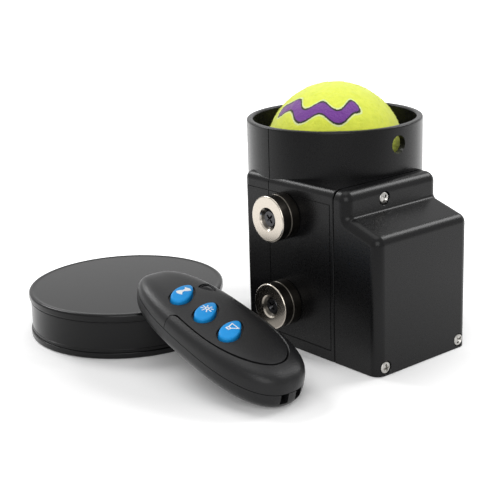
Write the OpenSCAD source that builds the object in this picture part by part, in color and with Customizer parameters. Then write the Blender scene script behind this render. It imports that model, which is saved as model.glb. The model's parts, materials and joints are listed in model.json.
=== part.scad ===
// Dog ball dropper: ball tube with a remote-controlled release flap, its lid and its remote control.
// Millimetres. The tube's axis is Z, the table is z = 0, the drive cover faces -Y and the magnets face -X.

/* [Tube and block] */
// outside width of the ball tube
tube_d = 80; // [78:0.5:84]
// wall of the ball tube
tube_wall = 3; // [2.6:0.1:3.4]
// height of the tube's rim
tube_h = 97.6; // [92:0.2:104]
// rounding of the rim's edges
rim_round = 0.8; // [0.4:0.1:1.2]
// how far the block's flat side stands outside the tube
side_margin = 0.7; // [0.5:0.1:1.5]
// how far the block's front stands outside the tube
front_margin = 0.5; // [0.3:0.1:1.2]
// where the block ends at the back, from the tube's axis
block_back = 17.4; // [15:0.1:20]
// height of the block's ledge
block_h = 76.5; // [75:0.5:80]
// wall of the block round its hollow corner
block_wall = 3; // [2.4:0.1:3.4]
// rounding of the block's outer edges
block_round = 4; // [3:0.1:5]
// width of a hanging hole
hang_d = 8; // [6:0.1:9]
// distance of a hanging hole's middle below the rim
hang_drop = 8.1; // [7:0.1:10]
// width and depth of the fine lines moulded into the side
line_w = 0.5; // [0.3:0.1:0.7]

/* [Cover] */
// thickness of the cover's walls
cover_wall = 2.4; // [2:0.1:2.8]
// how far the upper step of the cover stands out from the seam
step_depth = 7.3; // [7:0.1:9]
// how far the lower box of the cover stands out from the seam
box_depth = 25.3; // [25:0.1:28]
// height of the cover's lower box at the step
box_h = 65.4; // [64:0.1:67]
// how far the lower box's top falls from the step to its front
box_fall = 5.6; // [4:0.1:7]
// rounding of the cover's edges
cover_round = 4.5; // [4:0.1:5]
// thickness of the seal at the seam
seal_t = 0.6; // [0.4:0.1:0.8]
// how far the seal lies inside the cover's faces
seal_inset = 0.7; // [0.5:0.1:1]
// thread width of a cover screw
cover_screw_d = 3; // [2.5:0.1:3]
// head width of a cover screw
cover_head_d = 5.3; // [5:0.1:5.6]
// depth of the recess for a cover screw's head
cover_recess = 1.2; // [1:0.1:1.4]

/* [Magnets] */
// width of a ring magnet
magnet_d = 20.5; // [18:0.1:21]
// thickness of one ring
magnet_t = 5; // [4:0.1:6]
// width of the countersink at a magnet's face
magnet_sink_d = 10; // [9:0.1:11]
// height of the upper magnet's middle
magnet_high = 60.4; // [58:0.1:62]
// height of the lower magnet's middle
magnet_low = 20.6; // [18:0.1:23]
// distance of the magnets' middle in front of the tube's axis
magnet_front = 10.2; // [9:0.1:11.5]
// thread width of a magnet's screw
magnet_screw_d = 4; // [3:0.1:4]

/* [Release flap] */
// width of the flap
flap_w = 16; // [12:0.5:16]
// length of the flap from its hinge to its tip
flap_len = 45; // [40:0.5:46]
// thickness of the flap
flap_t = 2; // [1.6:0.1:2]
// height of the flap's hinge
hinge_z = 47.9; // [47.5:0.1:48.5]
// width of the flap's shaft
shaft_d = 3; // [2.6:0.1:3]
// teeth of the flap's gear
gear_teeth = 18; // [16:1:20]
// teeth of the motor's pinion
pinion_teeth = 12; // [10:1:14]
// module of both gears
gear_module = 1; // [0.8:0.05:1.1]
// width of both gears along the shaft
gear_w = 4; // [3:0.1:4]
// width of the ball
ball_d = 64; // [62:0.5:65]
// thickness of the ball's felt
felt_t = 2.5; // [2:0.1:3]
// thickness of the ball's rubber
rubber_t = 3.5; // [3:0.1:4]

/* [Drive] */
// width of the geared motor across its flats
motor_w = 10; // [9:0.1:10]
// height of the geared motor
motor_h = 12; // [11:0.1:12]
// length of the gearbox
gearbox_len = 9; // [8:0.1:9.5]
// length of the motor's can
can_len = 15; // [13:0.1:16]
// room between the cell tray and the cover's right wall
tray_end_gap = 0.9; // [0.5:0.1:4]
// room between the cell tray and the cover's left wall
tray_side_gap = 1.3; // [0.5:0.1:4]
// wall of the motor's bracket
bracket_wall = 2; // [1.6:0.1:2.2]
// width of a cell
cell_d = 10.5; // [9.5:0.1:10.5]
// length of a cell
cell_len = 44.5; // [40:0.5:44.5]
// thickness of the circuit boards
board_t = 1.6; // [1:0.1:1.6]

/* [Lid] */
// room between the lid's collar and the tube's outside
lid_play = 0.2; // [0.1:0.05:0.3]
// height of the lid
lid_h = 20.6; // [19.5:0.1:22]
// wall of the collar that slips over the tube
lid_collar = 1.3; // [1.2:0.1:1.6]
// room between the collar and the lid's skirt
lid_moat = 2.2; // [1.8:0.1:2.6]
// wall of the lid's skirt between its beads
lid_wall = 1.3; // [1.2:0.1:1.6]
// how far the lid's beads stand out
lid_bead = 0.7; // [0.4:0.1:0.8]
// thickness of the lid's top
lid_top = 2.4; // [2:0.1:3]
// where the lid lies, across
lid_x = -76; // [-80:0.5:-74]
// where the lid lies, towards the back
lid_y = 64; // [62:0.5:70]

/* [Remote] */
// length of the remote
remote_len = 95.6; // [88:0.1:106]
// width of the remote
remote_w = 39.2; // [38:0.1:43]
// depth of the remote's lower end
remote_deep = 20.6; // [20:0.1:22]
// depth of the remote's upper end
remote_thin = 18.1; // [17.6:0.1:19]
// depth of the seam between the cases below the top panel, at the lower tip
remote_seam = 9.9; // [9.6:0.1:10.4]
// thickness of the remote's walls
remote_wall = 1.8; // [1.6:0.1:1.8]
// how far the top panel's edge lies inside the outline
panel_inset = 4.1; // [3.8:0.1:4.6]
// how far the top panel's edge lies from the lower tip
panel_nose = 9.1; // [8.6:0.1:9.6]
// where the bumper ends, from the lower tip
bumper_end = 59.5; // [56:0.5:62]
// length of a button from its blunt end to its tip
button_len = 16; // [14:0.1:16.2]
// width of a button
button_w = 7.6; // [6.8:0.1:8.2]
// how far a button stands above the panel
button_rise = 1.9; // [1.4:0.1:2.2]
// travel of a button
button_travel = 1.2; // [1:0.1:1.2]
// distance between the buttons
button_pitch = 16.3; // [15:0.1:17]
// distance of the remote's upper end past the lid's edge that carries it
remote_lap = 11.2; // [8:0.1:16]
// how far the remote lies to the left of the lid's middle
remote_side = 11; // [0:0.1:14]

/* [Fits] */
// room between pieces that move past each other
free_gap = 0.3; // [0.3:0.05:0.4]
// radial room of a turning shaft
run_gap = 0.05; // [0.03:0.01:0.08]
// radial room of a screw or a set-in piece
set_gap = 0.02; // [0.01:0.01:0.05]

/* [Hidden] */
$fn = 96;
tube_r = tube_d / 2;
bore_r = tube_r - tube_wall;
side_x = -(tube_r + side_margin);
seam_y = -(tube_r + front_margin);
pocket_w = flap_w + 4 * free_gap;
bush_len = 3.4;
bearing_wall = 1;
mount_gap = 0.6;
tray_wall = 1.4;
contact_t = 1.2;

// the block is as wide as the flap's bearing or the cells in their tray need
bearing_right = pocket_w / 2 + bush_len + bearing_wall + mount_gap + cover_wall;
tray_w = cell_len + 2 * (contact_t + tray_wall);
block_right = max(bearing_right, side_x + tray_w + tray_side_gap + tray_end_gap + 2 * cover_wall);
block_w = block_right - side_x;
block_in_x = side_x + block_wall;
cover_y = seam_y - seal_t;
step_y = seam_y - step_depth - seal_t;
box_y = seam_y - box_depth - seal_t;
cover_in_x = side_x + cover_wall;
cover_in_r = block_right - cover_wall;
cover_in_y = box_y + cover_wall;
step_in_y = step_y + cover_wall;
box_slope = box_fall / (step_y - box_y);
slope_stretch = sqrt(1 + box_slope * box_slope);

// hinge, shaft and gears
hinge_y = -bore_r;
shaft_r = shaft_d / 2;
barrel_r = shaft_r + 0.7;
pocket_y = hinge_y - barrel_r - 0.4;
pocket_top = hinge_z + barrel_r + 1.9;
mount_face_y = pocket_y - 3;
bearing_reach = 13.4;
mount_left = -pocket_w / 2 - bearing_reach;
mount_right = cover_in_r - mount_gap;
mount_low = 7.5;
mount_high = 66;
gear_x = block_in_x + 1.2;
gear_gap = gear_module * (gear_teeth + pinion_teeth) / 2;
pinion_y = hinge_y - gear_gap;
bush_wall = 0.7;
bush_r = shaft_r + run_gap + bush_wall;
shaft_left = gear_x - 0.5;
shaft_right = pocket_w / 2 + bush_len + 0.3;

// ball
ball_r = ball_d / 2;
ball_z = hinge_z + flap_t / 2 + free_gap + ball_r;

// motor and bracket
motor_shaft_r = 1.5;
gearbox_x = gear_x + gear_w + 2;
can_x = gearbox_x + gearbox_len;
bracket_x = can_x + 1.5;
bracket_len = 10;
bracket_low = hinge_z - motor_h / 2 - bracket_wall;
bracket_top = hinge_z + motor_h / 2 + bracket_wall;
bracket_front = pinion_y - motor_w / 2 - bracket_wall;
foot_len = 6;
foot_t = 2;
foot_screw_z = [bracket_low - foot_len / 2, bracket_top + foot_len / 2];
foot_screw_x = bracket_x + bracket_len / 2;
small_screw_r = 1;
small_head_r = 1.7;
small_head_t = 1.2;
screw_bite = 4;

// cells and tray
cell_r = cell_d / 2;
cell_gap = 0.9;
cell_pitch = cell_d + cell_gap;
cell_front_gap = 1.15;
cell_y = cover_in_y + cell_front_gap + cell_r;
cell_low = cover_wall + cell_r + 5.55;
cell_z = [cell_low, cell_low + cell_pitch];
nub_len = 1;
nub_r = 1.9;
tray_lip = 0.7;
tray_floor = 1.5;
contact_w = 8;
cell_left = cover_in_x + tray_side_gap + tray_wall + contact_t;
cell_right = cell_left + cell_len;
tray_left = cell_left - contact_t - tray_wall;
tray_right = tray_left + tray_w;
tray_front = cell_y + cell_r + free_gap;
tray_back = tray_front + tray_floor;
tray_low = cell_z[0] - cell_r - tray_lip;
tray_top = cell_z[1] + cell_r + tray_lip;
tray_side_y = cell_y - cell_r + 0.6;
tray_screw_z = (cell_z[0] + cell_z[1]) / 2;
tray_screw_x = [mount_left + 2.4, tray_right - 3.3];
tray_post_r = 1.7;
tray_head_r = 1.5;

// circuit board
board_stand = 2;
board_y = mount_face_y - board_stand;
board_front = board_y - board_t;
board_h = 23;
post_gap = [1.1, 0.7];
board_left = tray_screw_x[0] + tray_post_r + post_gap[0];
board_right = tray_screw_x[1] - tray_post_r - post_gap[1];
board_w = board_right - board_left;
board_low = mount_low + 1.5;
board_top = board_low + board_h;
hole_inset = 2.6;
board_holes = [
    [board_left + hole_inset, board_top - hole_inset],
    [board_right - hole_inset, board_low + hole_inset]
];
board_post_r = 2;
receiver_size = [12, 2, 8];
receiver_at = [board_left + 6, board_top - receiver_size[2] - 2];
buzzer_r = 3.8;
buzzer_t = 3;
buzzer_hole_r = 0.8;
buzzer_at = [receiver_at[0] + 8.8, receiver_at[1] - buzzer_r - 0.6];
capacitor_r = 2.5;
capacitor_at = [board_left + 5, board_low + 7];
aerial_r = 0.5;
aerial_len = 30;
aerial_at = [board_right - 3, board_top - 5];

// cover screws: [x, z, face of the cover]
cover_screw_r = cover_screw_d / 2;
cover_head_r = cover_head_d / 2;
cover_head_t = 1.4;
head_room = 0.35;
top_screw = [side_x + 23, block_h - 6.2];
low_screw_z = 3.5;
low_left = [side_x + 5.2, low_screw_z];
low_right = [block_right - 5.3, low_screw_z];
low_screw_end = seam_y + 4.2;
post_r = 3.2;
boss_r = post_r + 0.3;

// magnets
magnet_r = magnet_d / 2;
magnet_z = [magnet_high, magnet_low];
magnet_face = side_x - 2 * magnet_t;
magnet_y = -magnet_front;
magnet_round = 0.6;
magnet_backing = 6.8;
sink_r = magnet_sink_d / 2;
insert_r = magnet_screw_d / 2 + 0.8;
insert_len = 3.6;
screw_play = 0.2;
screw_hole_r = magnet_screw_d / 2 + screw_play;
sunk_depth = 0.6;
slot_len = 4.4;
slot_width = 0.9;
slot_depth = 1.9;

// fine lines on the flat side: how far their frame lies from the seam, the back, the table and the ledge
frame_front = 2;
frame_back = 3.4;
frame_low = 4.8;
frame_top = 6.5;

// lid
lid_in_r = tube_r + lid_play;
lid_collar_r = lid_in_r + lid_collar;
lid_wall_r = lid_collar_r + lid_moat + lid_wall;
lid_r = lid_wall_r + lid_bead;
lid_round = 1.2;
top_bead_h = 3;
low_bead_h = 2.6;
collar_lift = 2;

// remote: its own frame has the top panel at z = 0, the lower tip at y = 0 and the length along +Y
remote_mid = 0.433 * remote_len;
half_w = remote_w / 2;
plan_power = 2.48;
panel_power = 2.1;
end_power = 4;
top_power = 3.86;
low_power = 2.5;
belt = 0.527;
seam_tilt = 2;
loft_rows = 24;
loft_cols = 40;
button_x = -3.6;
button_turn = 29;
button_taper = 0.3;
first_button = remote_len - 27.6;
button_y = [first_button, first_button - button_pitch, first_button - 2 * button_pitch];
button_dome_r = 30;
recess_grow = 1.1;
recess_depth = 0.8;
flange = 0.7;
flange_t = 0.9;
roof_fall = 0.7;
flange_top = -remote_wall - free_gap - roof_fall;
case_screw_y = [15, remote_len - 14];
case_boss_r = 2.8;
case_floor = 5;
head_shelf = 1.6;
case_screw_len = 5.5;
key_board_z = -8;
key_board_t = 1.2;
key_board_w = 18;
board_edge = 0.8;
key_board_low = case_screw_y[0] + case_boss_r + board_edge;
key_board_high = button_y[0] + 6;
key_body_w = 5;
key_body_h = 1.4;
key_stem_r = 1.2;
key_post_x = 6.5;
key_post_r = 1.6;
key_post_y = [key_board_low + key_post_r + free_gap, key_board_high - 8];
key_top = flange_top - flange_t - 0.1 - button_travel - free_gap;
cell_coin_r = 10;
cell_coin_t = 3.2;
coin_wall = 1.2;
coin_mouth_w = 8;
coin_edge = 2.6;
coin_at = [0, key_board_low + cell_coin_r + coin_wall + coin_edge];
lens_at = [10.6, remote_len - 26.7];
lens_corner = 4.1;
lens_turn = 40;
lens_depth = 1.5;
slot_x = [-2.8, 4.8];
slot_w = 3.6;
slot_h = 4.6;
slot_back = 6;
slot_bar_back = 3;
far = 2 * remote_len;

function power(c, n) = sign(c) * pow(abs(c), 2 / n);
function remote_depth(y) = remote_deep + (remote_thin - remote_deep) * y / remote_len;
function reach(y) = min(1, abs(y - remote_mid) / (y < remote_mid ? remote_mid : remote_len - remote_mid));
function round_off(t, n) = pow(max(0, 1 - pow(t, n)), 1 / n);
function ring_y(i) = remote_len / 2 * (1 - cos(180 * i / loft_rows));
function side_power(a) = sin(a) > 0 ? top_power : low_power;
function ring_point(y, a) = [
    half_w * round_off(reach(y), plan_power) * power(cos(a), side_power(a)),
    y,
    remote_depth(y) * (-belt + (sin(a) > 0 ? belt : 1 - belt) * round_off(reach(y), end_power)
        * power(sin(a), side_power(a)))
];
function seam_z(y) = y * tan(seam_tilt) - remote_seam;
function panel_reach(y, low, high) =
    min(1, abs(y - remote_mid) / (y < remote_mid ? remote_mid - low : high - remote_mid));
function panel_half(y, low, high, half) = half * round_off(panel_reach(y, low, high), panel_power);

// the lean and the place at which the remote lies on the table and on the lid's edge
function under(y) = -remote_depth(y) * (belt + (1 - belt) * round_off(reach(y), end_power));
function lift(y, lean) = y * sin(lean) + under(y) * cos(lean);
function tip_height(lean) = -min([for (i = [1:199]) lift(remote_len * i / 200, lean)]);
function lid_room(lean) = tip_height(lean) + lift(remote_len - remote_lap, lean) - lid_h;
function find_lean(low, high, tries) = let(mid = (low + high) / 2)
    tries == 0 ? mid
    : lid_room(mid) > free_gap ? find_lean(low, mid, tries - 1)
    : find_lean(mid, high, tries - 1);
remote_lean = find_lean(0, 45, 40);
rest_y = remote_len - remote_lap;
lid_edge_y = lid_y - sqrt(pow(lid_r, 2) - pow(remote_side, 2));
remote_at = [
    lid_x - remote_side,
    lid_edge_y - rest_y * cos(remote_lean) + under(rest_y) * sin(remote_lean),
    tip_height(remote_lean)
];

function egg(a, grow) = [
    (button_len / 2 + grow) * cos(a),
    (button_w / 2 * (1 - button_taper * cos(a)) + grow) * sin(a)
];

// gear outlines with involute flanks
press_angle = 25;
backlash = 0.2;
function involute(a) = tan(a) * 180 / PI - a;
function base_r(n) = gear_module * n / 2 * cos(press_angle);
function root_r(n) = gear_module * (n / 2 - 1.05);
function tip_r(n) = gear_module * (n / 2 + 0.8);
function tooth_half(n) = 90 / n - backlash / (gear_module * n) * 180 / PI;
function flank_r(n, k) = let(low = max(base_r(n), root_r(n))) low + (tip_r(n) - low) * k / 5;
function flank_a(n, r) = tooth_half(n) + involute(press_angle) - involute(acos(min(1, base_r(n) / r)));
function polar(r, a) = [r * cos(a), r * sin(a)];
function tooth(n, at) = concat(
    [polar(root_r(n), at - flank_a(n, flank_r(n, 0)))],
    [for (k = [0:5]) polar(flank_r(n, k), at - flank_a(n, flank_r(n, k)))],
    [for (k = [5:-1:0]) polar(flank_r(n, k), at + flank_a(n, flank_r(n, k)))],
    [polar(root_r(n), at + flank_a(n, flank_r(n, 0)))]
);
function gear_outline(n, start) = [for (i = [0:n - 1]) each tooth(n, start + 360 * i / n)];

// colours
shell_black = [0.06, 0.06, 0.065];
dark_grey = [0.12, 0.12, 0.125];
steel = [0.75, 0.75, 0.77];
brass = [0.8, 0.65, 0.3];
board_green = [0.05, 0.3, 0.15];
button_blue = [0.13, 0.52, 0.85];
felt_yellow = [0.78, 0.95, 0.12];

// turns a piece drawn along Z so that it lies along X
module along_x() {
    rotate([0, 90, 0]) children();
}

// turns a piece drawn along Z so that it lies along -Y
module along_front() {
    rotate([90, 0, 0]) children();
}

// the tube as a solid bar with a rounded rim
module tube_bar() {
    rotate_extrude() {
        square([tube_r, tube_h - rim_round]);
        square([tube_r - rim_round, tube_h]);
        translate([tube_r - rim_round, tube_h - rim_round]) circle(rim_round, $fn = 32);
    }
}

// the tube's bore, flared to round the rim's inner edge
module tube_bore() {
    rotate_extrude() {
        translate([0, -1]) square([bore_r, tube_h + 3]);
        difference() {
            translate([0, tube_h - rim_round]) square([bore_r + rim_round, rim_round + 2]);
            translate([bore_r + rim_round, tube_h - rim_round]) circle(rim_round, $fn = 32);
        }
    }
}

// the block's outside with a rounded top and a rounded back edge
module block_outside() {
    hull() {
        for (x = [side_x + block_round, block_right - block_round]) {
            translate([x, block_back - block_round, block_h - block_round]) sphere(block_round, $fn = 32);
            translate([x, block_back - block_round, 0]) cylinder(r = block_round, h = 1, $fn = 32);
            translate([x, seam_y + 1, block_h - block_round]) along_front()
                cylinder(r = block_round, h = 1, $fn = 32);
        }
        translate([side_x, seam_y, 0]) cube([block_right - side_x, 1, 1]);
    }
}

// the hollow in the block's corner, open to the cover
module corner_hollow() {
    difference() {
        translate([block_in_x, seam_y - 1, block_wall])
            cube([block_right - block_wall - block_in_x, tube_r + 1, block_h - 2 * block_wall]);
        translate([0, 0, -1]) cylinder(r = tube_r, h = tube_h);
        translate([block_in_x - 1, magnet_y - magnet_backing, 0]) cube([tube_r, tube_r, block_h]);
    }
}

// fine lines moulded into the flat side and along the parting of the shells
module side_lines() {
    frame_y = seam_y + frame_front;
    frame_len = block_back - frame_back - frame_y;
    frame_h = block_h - frame_top - frame_low;
    difference() {
        translate([side_x - 1, frame_y, frame_low]) cube([1 + line_w, frame_len, frame_h]);
        translate([side_x - 2, frame_y + line_w, frame_low + line_w])
            cube([2 + 2 * line_w, frame_len - 2 * line_w, frame_h - 2 * line_w]);
    }
    translate([side_x - 1, -line_w / 2, -1]) cube([1 + line_w, line_w, block_h]);
    difference() {
        translate([-tube_r - 1, -line_w / 2, block_h - 0.5]) cube([2 * tube_r + 2, line_w, tube_h]);
        cylinder(r = tube_r - line_w, h = 2 * tube_h);
    }
}

// front and back halves of the housing before they are parted
module housing_solid() {
    difference() {
        union() {
            difference() {
                union() {
                    tube_bar();
                    block_outside();
                }
                corner_hollow();
            }
            translate([mount_left, mount_face_y, mount_low])
                cube([mount_right - mount_left, hinge_y + 4 - mount_face_y, mount_high - mount_low]);
            for (b = board_holes)
                translate([b[0], mount_face_y + 1, b[1]]) along_front()
                    cylinder(r = board_post_r, h = board_stand + 1);
            for (x = tray_screw_x)
                translate([x, mount_face_y + 1, tray_screw_z]) along_front()
                    cylinder(r = tray_post_r, h = mount_face_y + 1 - tray_back);
            translate([top_screw[0], seam_y + 5, top_screw[1]]) along_front()
                cylinder(r = boss_r, h = seam_y + 5 - step_in_y);
            translate([low_left[0], seam_y + 8, low_left[1]]) along_front() cylinder(r = post_r, h = 8);
        }
        tube_bore();
        translate([-pocket_w / 2, pocket_y, -1]) cube([pocket_w, -pocket_y - 5, pocket_top + 1]);
        translate([mount_left - 1, hinge_y, hinge_z]) along_x()
            cylinder(r = shaft_r + free_gap, h = -mount_left + 1);
        for (x = [mount_left - 0.01, pocket_w / 2 - 0.01])
            translate([x, hinge_y, hinge_z]) along_x() cylinder(r = bush_r + set_gap, h = bush_len + 0.02);
        translate([0, hinge_y, hinge_z]) along_x()
            cylinder(r = shaft_r + free_gap, h = shaft_right + free_gap);
        for (z = magnet_z)
            translate([side_x - 1, magnet_y, z]) along_x()
                cylinder(r = insert_r + set_gap, h = insert_len + 1 + free_gap);
        for (s = [-1, 1])
            translate([0, s * (tube_r + 1), tube_h - hang_drop]) rotate([s * 90, 0, 0])
                cylinder(d = hang_d, h = tube_wall + 4);
        for (z = foot_screw_z)
            translate([foot_screw_x, hinge_y + 2, z]) along_front()
                cylinder(r = small_screw_r + set_gap, h = 20, $fn = 32);
        for (b = board_holes)
            translate([b[0], mount_face_y + 4, b[1]]) along_front()
                cylinder(r = small_screw_r + set_gap, h = 20, $fn = 32);
        for (x = tray_screw_x)
            translate([x, mount_face_y + 1, tray_screw_z]) along_front()
                cylinder(r = small_screw_r + set_gap, h = 20, $fn = 32);
        for (p = [top_screw, low_left, low_right])
            translate([p[0], low_screw_end + free_gap, p[1]]) along_front()
                cylinder(r = cover_screw_r + set_gap, h = 20, $fn = 48);
        side_lines();
    }
}

module front_shell() {
    color(shell_black) intersection() {
        housing_solid();
        translate([-100, -100, -1]) cube([200, 100, 200]);
    }
}

module rear_shell() {
    color(shell_black) intersection() {
        housing_solid();
        translate([-100, 0, -1]) cube([200, 100, 200]);
    }
}

// height of the lower box's sloping top at y
function box_top(y) = box_h + box_slope * (y - step_y);

// one rounded block of the cover, flat at the seam and at the table; its top may slope
module cover_block(front, top, seam_top) {
    difference() {
        hull() {
            for (x = [side_x + cover_round, block_right - cover_round]) {
                translate([x, front + cover_round, top - cover_round]) sphere(cover_round, $fn = 32);
                translate([x, front + cover_round, 0]) cylinder(r = cover_round, h = 1, $fn = 32);
                translate([x, cover_y, seam_top - cover_round]) along_front()
                    cylinder(r = cover_round, h = 1, $fn = 32);
            }
            translate([side_x, cover_y - 1, 0]) cube([block_w, 1, 1]);
        }
        translate([side_x - 1, cover_y, -1]) cube([block_w + 2, 2 * cover_round, block_h + 2]);
    }
}

// hollow of the lower box, under its sloping top
module box_room() {
    roof = cover_wall * slope_stretch;
    end = cover_y + 1;
    translate([cover_in_x, 0, 0]) rotate([90, 0, 90]) linear_extrude(cover_in_r - cover_in_x)
        polygon([
            [cover_in_y, cover_wall],
            [end, cover_wall],
            [end, box_top(end) - roof],
            [cover_in_y, box_top(cover_in_y) - roof]
        ]);
}

module motor_cover() {
    // the front rounding touches both the front and the sloping top
    box_front_top = box_top(box_y + cover_round) - cover_round * (slope_stretch - 1);
    color(shell_black) difference() {
        union() {
            difference() {
                union() {
                    cover_block(step_y, block_h, block_h);
                    cover_block(box_y, box_front_top, box_top(cover_y));
                }
                box_room();
                translate([cover_in_x, step_in_y, cover_wall])
                    cube([cover_in_r - cover_in_x, 2 * box_depth, block_h - 2 * cover_wall]);
            }
            for (p = [low_left, low_right])
                translate([p[0], cover_y, p[1]]) along_front()
                    cylinder(r = post_r, h = cover_y - cover_in_y + 1);
        }
        translate([top_screw[0], 0, top_screw[1]]) along_front()
            cylinder(r = cover_screw_r + set_gap, h = 100, $fn = 48);
        translate([top_screw[0], step_y + cover_recess, top_screw[1]]) along_front()
            cylinder(r = cover_head_r + head_room, h = 10, $fn = 64);
        for (p = [low_left, low_right]) {
            translate([p[0], 0, p[1]]) along_front()
                cylinder(r = cover_screw_r + set_gap, h = 100, $fn = 48);
            translate([p[0], box_y + cover_recess, p[1]]) along_front()
                cylinder(r = cover_head_r + head_room, h = 10, $fn = 64);
        }
    }
}

// outline of the seal on the seam, round at its upper corners
module seal_plan() {
    r = cover_round - seal_inset;
    left = side_x + seal_inset;
    right = block_right - seal_inset;
    top = block_h - seal_inset - 0.2;
    translate([left, seal_inset]) square([right - left, top - r - seal_inset]);
    translate([left + r, top - r - 1]) square([right - left - 2 * r, r + 1]);
    for (x = [left + r, right - r])
        translate([x, top - r]) circle(r, $fn = 48);
}

module cover_seal() {
    color(dark_grey) difference() {
        translate([0, seam_y, 0]) along_front() linear_extrude(seal_t) seal_plan();
        translate([cover_in_x - 0.1, cover_y - 1, cover_wall - 0.1])
            cube([cover_in_r - cover_in_x + 0.2, seal_t + 2, block_h - 2 * cover_wall - 0.2]);
        for (p = [low_left, low_right])
            translate([p[0], 0, p[1]]) along_front() cylinder(r = cover_screw_r + 0.6, h = 100, $fn = 48);
    }
}

// a screw with a low domed head and a cross slot, head face at z = 0 upwards
module dome_screw(r, head_r, head_t, len) {
    difference() {
        union() {
            translate([0, 0, -len]) cylinder(r = r, h = len + 0.1, $fn = 48);
            intersection() {
                cylinder(r = head_r, h = head_t, $fn = 64);
                translate([0, 0, head_t - 3 * head_r]) sphere(3 * head_r, $fn = 96);
            }
        }
        for (a = [0, 90])
            rotate([0, 0, a]) translate([-head_r * 0.62, -head_r * 0.13, head_t * 0.4])
                cube([head_r * 1.24, head_r * 0.26, head_t]);
    }
}

module cover_screws() {
    color(steel) {
        translate([top_screw[0], step_y + cover_recess, top_screw[1]]) along_front()
            dome_screw(cover_screw_r, cover_head_r, cover_head_t, low_screw_end - step_y - cover_recess);
        for (p = [low_left, low_right])
            translate([p[0], box_y + cover_recess, p[1]]) along_front()
                dome_screw(cover_screw_r, cover_head_r, cover_head_t, low_screw_end - box_y - cover_recess);
    }
}

// a ring with rounded rims, lying along -X from its back face
module ring_magnet(sink) {
    along_x() rotate_extrude() difference() {
        union() {
            translate([0, -magnet_t]) square([magnet_r - magnet_round, magnet_t]);
            translate([0, -magnet_t + magnet_round]) square([magnet_r, magnet_t - 2 * magnet_round]);
            for (h = [-magnet_t + magnet_round, -magnet_round])
                translate([magnet_r - magnet_round, h]) circle(magnet_round, $fn = 32);
        }
        translate([-1, -magnet_t - 1]) square([screw_hole_r + 1, magnet_t + 2]);
        if (sink)
            polygon([
                [0, -magnet_t - 0.01],
                [sink_r, -magnet_t - 0.01],
                [screw_hole_r, -magnet_t + sink_r - screw_hole_r],
                [0, -magnet_t + sink_r - screw_hole_r]
            ]);
    }
}

module face_magnets() {
    color(steel) for (z = magnet_z)
        translate([side_x - magnet_t, magnet_y, z]) ring_magnet(true);
}

module base_magnets() {
    color(steel) for (z = magnet_z)
        translate([side_x, magnet_y, z]) ring_magnet(false);
}

module magnet_screws() {
    stem_r = magnet_screw_d / 2;
    head_r = sink_r - sunk_depth - set_gap;
    color(steel) for (z = magnet_z)
        translate([magnet_face, magnet_y, z]) along_x() difference() {
            translate([0, 0, sunk_depth]) {
                cylinder(r1 = head_r, r2 = stem_r, h = head_r - stem_r);
                cylinder(r = stem_r, h = 2 * magnet_t + insert_len - sunk_depth);
            }
            for (a = [45, 135])
                rotate([0, 0, a]) translate([-slot_len / 2, -slot_width / 2, -1])
                    cube([slot_len, slot_width, slot_depth + 1]);
        }
}

module magnet_inserts() {
    color(brass) for (z = magnet_z)
        translate([side_x, magnet_y, z]) along_x() difference() {
            cylinder(r = insert_r, h = insert_len);
            translate([0, 0, -1]) cylinder(r = magnet_screw_d / 2 + set_gap, h = insert_len + 2);
        }
}

module release_flap() {
    color(dark_grey) difference() {
        union() {
            translate([-flap_w / 2, hinge_y, hinge_z - flap_t / 2])
                cube([flap_w, flap_len - flap_w / 2, flap_t]);
            translate([0, hinge_y + flap_len - flap_w / 2, hinge_z - flap_t / 2])
                cylinder(d = flap_w, h = flap_t);
            translate([-flap_w / 2, hinge_y, hinge_z]) along_x() cylinder(r = barrel_r, h = flap_w);
        }
        translate([-flap_w, hinge_y, hinge_z]) along_x() cylinder(r = shaft_r + set_gap, h = 2 * flap_w);
    }
}

module flap_shaft() {
    color(steel) translate([shaft_left, hinge_y, hinge_z]) along_x()
        cylinder(r = shaft_r, h = shaft_right - shaft_left);
}

module flap_gear() {
    color([0.85, 0.85, 0.82]) translate([gear_x, hinge_y, hinge_z]) along_x() difference() {
        union() {
            linear_extrude(gear_w) polygon(gear_outline(gear_teeth, -90));
            cylinder(r = shaft_r + 1.6, h = gear_w + 2);
        }
        translate([0, 0, -1]) cylinder(r = shaft_r + set_gap, h = gear_w + 4);
    }
}

module shaft_bushes() {
    color(brass) for (x = [mount_left, pocket_w / 2])
        translate([x, hinge_y, hinge_z]) along_x() difference() {
            cylinder(r = bush_r, h = bush_len);
            translate([0, 0, -1]) cylinder(r = shaft_r + run_gap, h = bush_len + 2);
        }
}

module pinion_gear() {
    color([0.85, 0.85, 0.82]) translate([gear_x, pinion_y, hinge_z]) along_x() difference() {
        linear_extrude(gear_w) polygon(gear_outline(pinion_teeth, 90 + 180 / pinion_teeth));
        translate([0, 0, -1]) cylinder(r = motor_shaft_r + set_gap, h = gear_w + 2);
    }
}

module motor_shaft() {
    color(steel) translate([gear_x - 0.5, pinion_y, hinge_z]) along_x()
        cylinder(r = motor_shaft_r, h = gearbox_x + 5 - gear_x);
}

module gearbox_case() {
    color([0.72, 0.6, 0.35]) difference() {
        union() {
            translate([gearbox_x, pinion_y - motor_w / 2, hinge_z - motor_h / 2])
                cube([gearbox_len, motor_w, motor_h]);
            translate([gearbox_x - 0.8, pinion_y, hinge_z]) along_x() cylinder(r = 2.2, h = 1);
        }
        translate([gearbox_x - 2, pinion_y, hinge_z]) along_x()
            cylinder(r = motor_shaft_r + run_gap, h = 7);
    }
}

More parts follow.
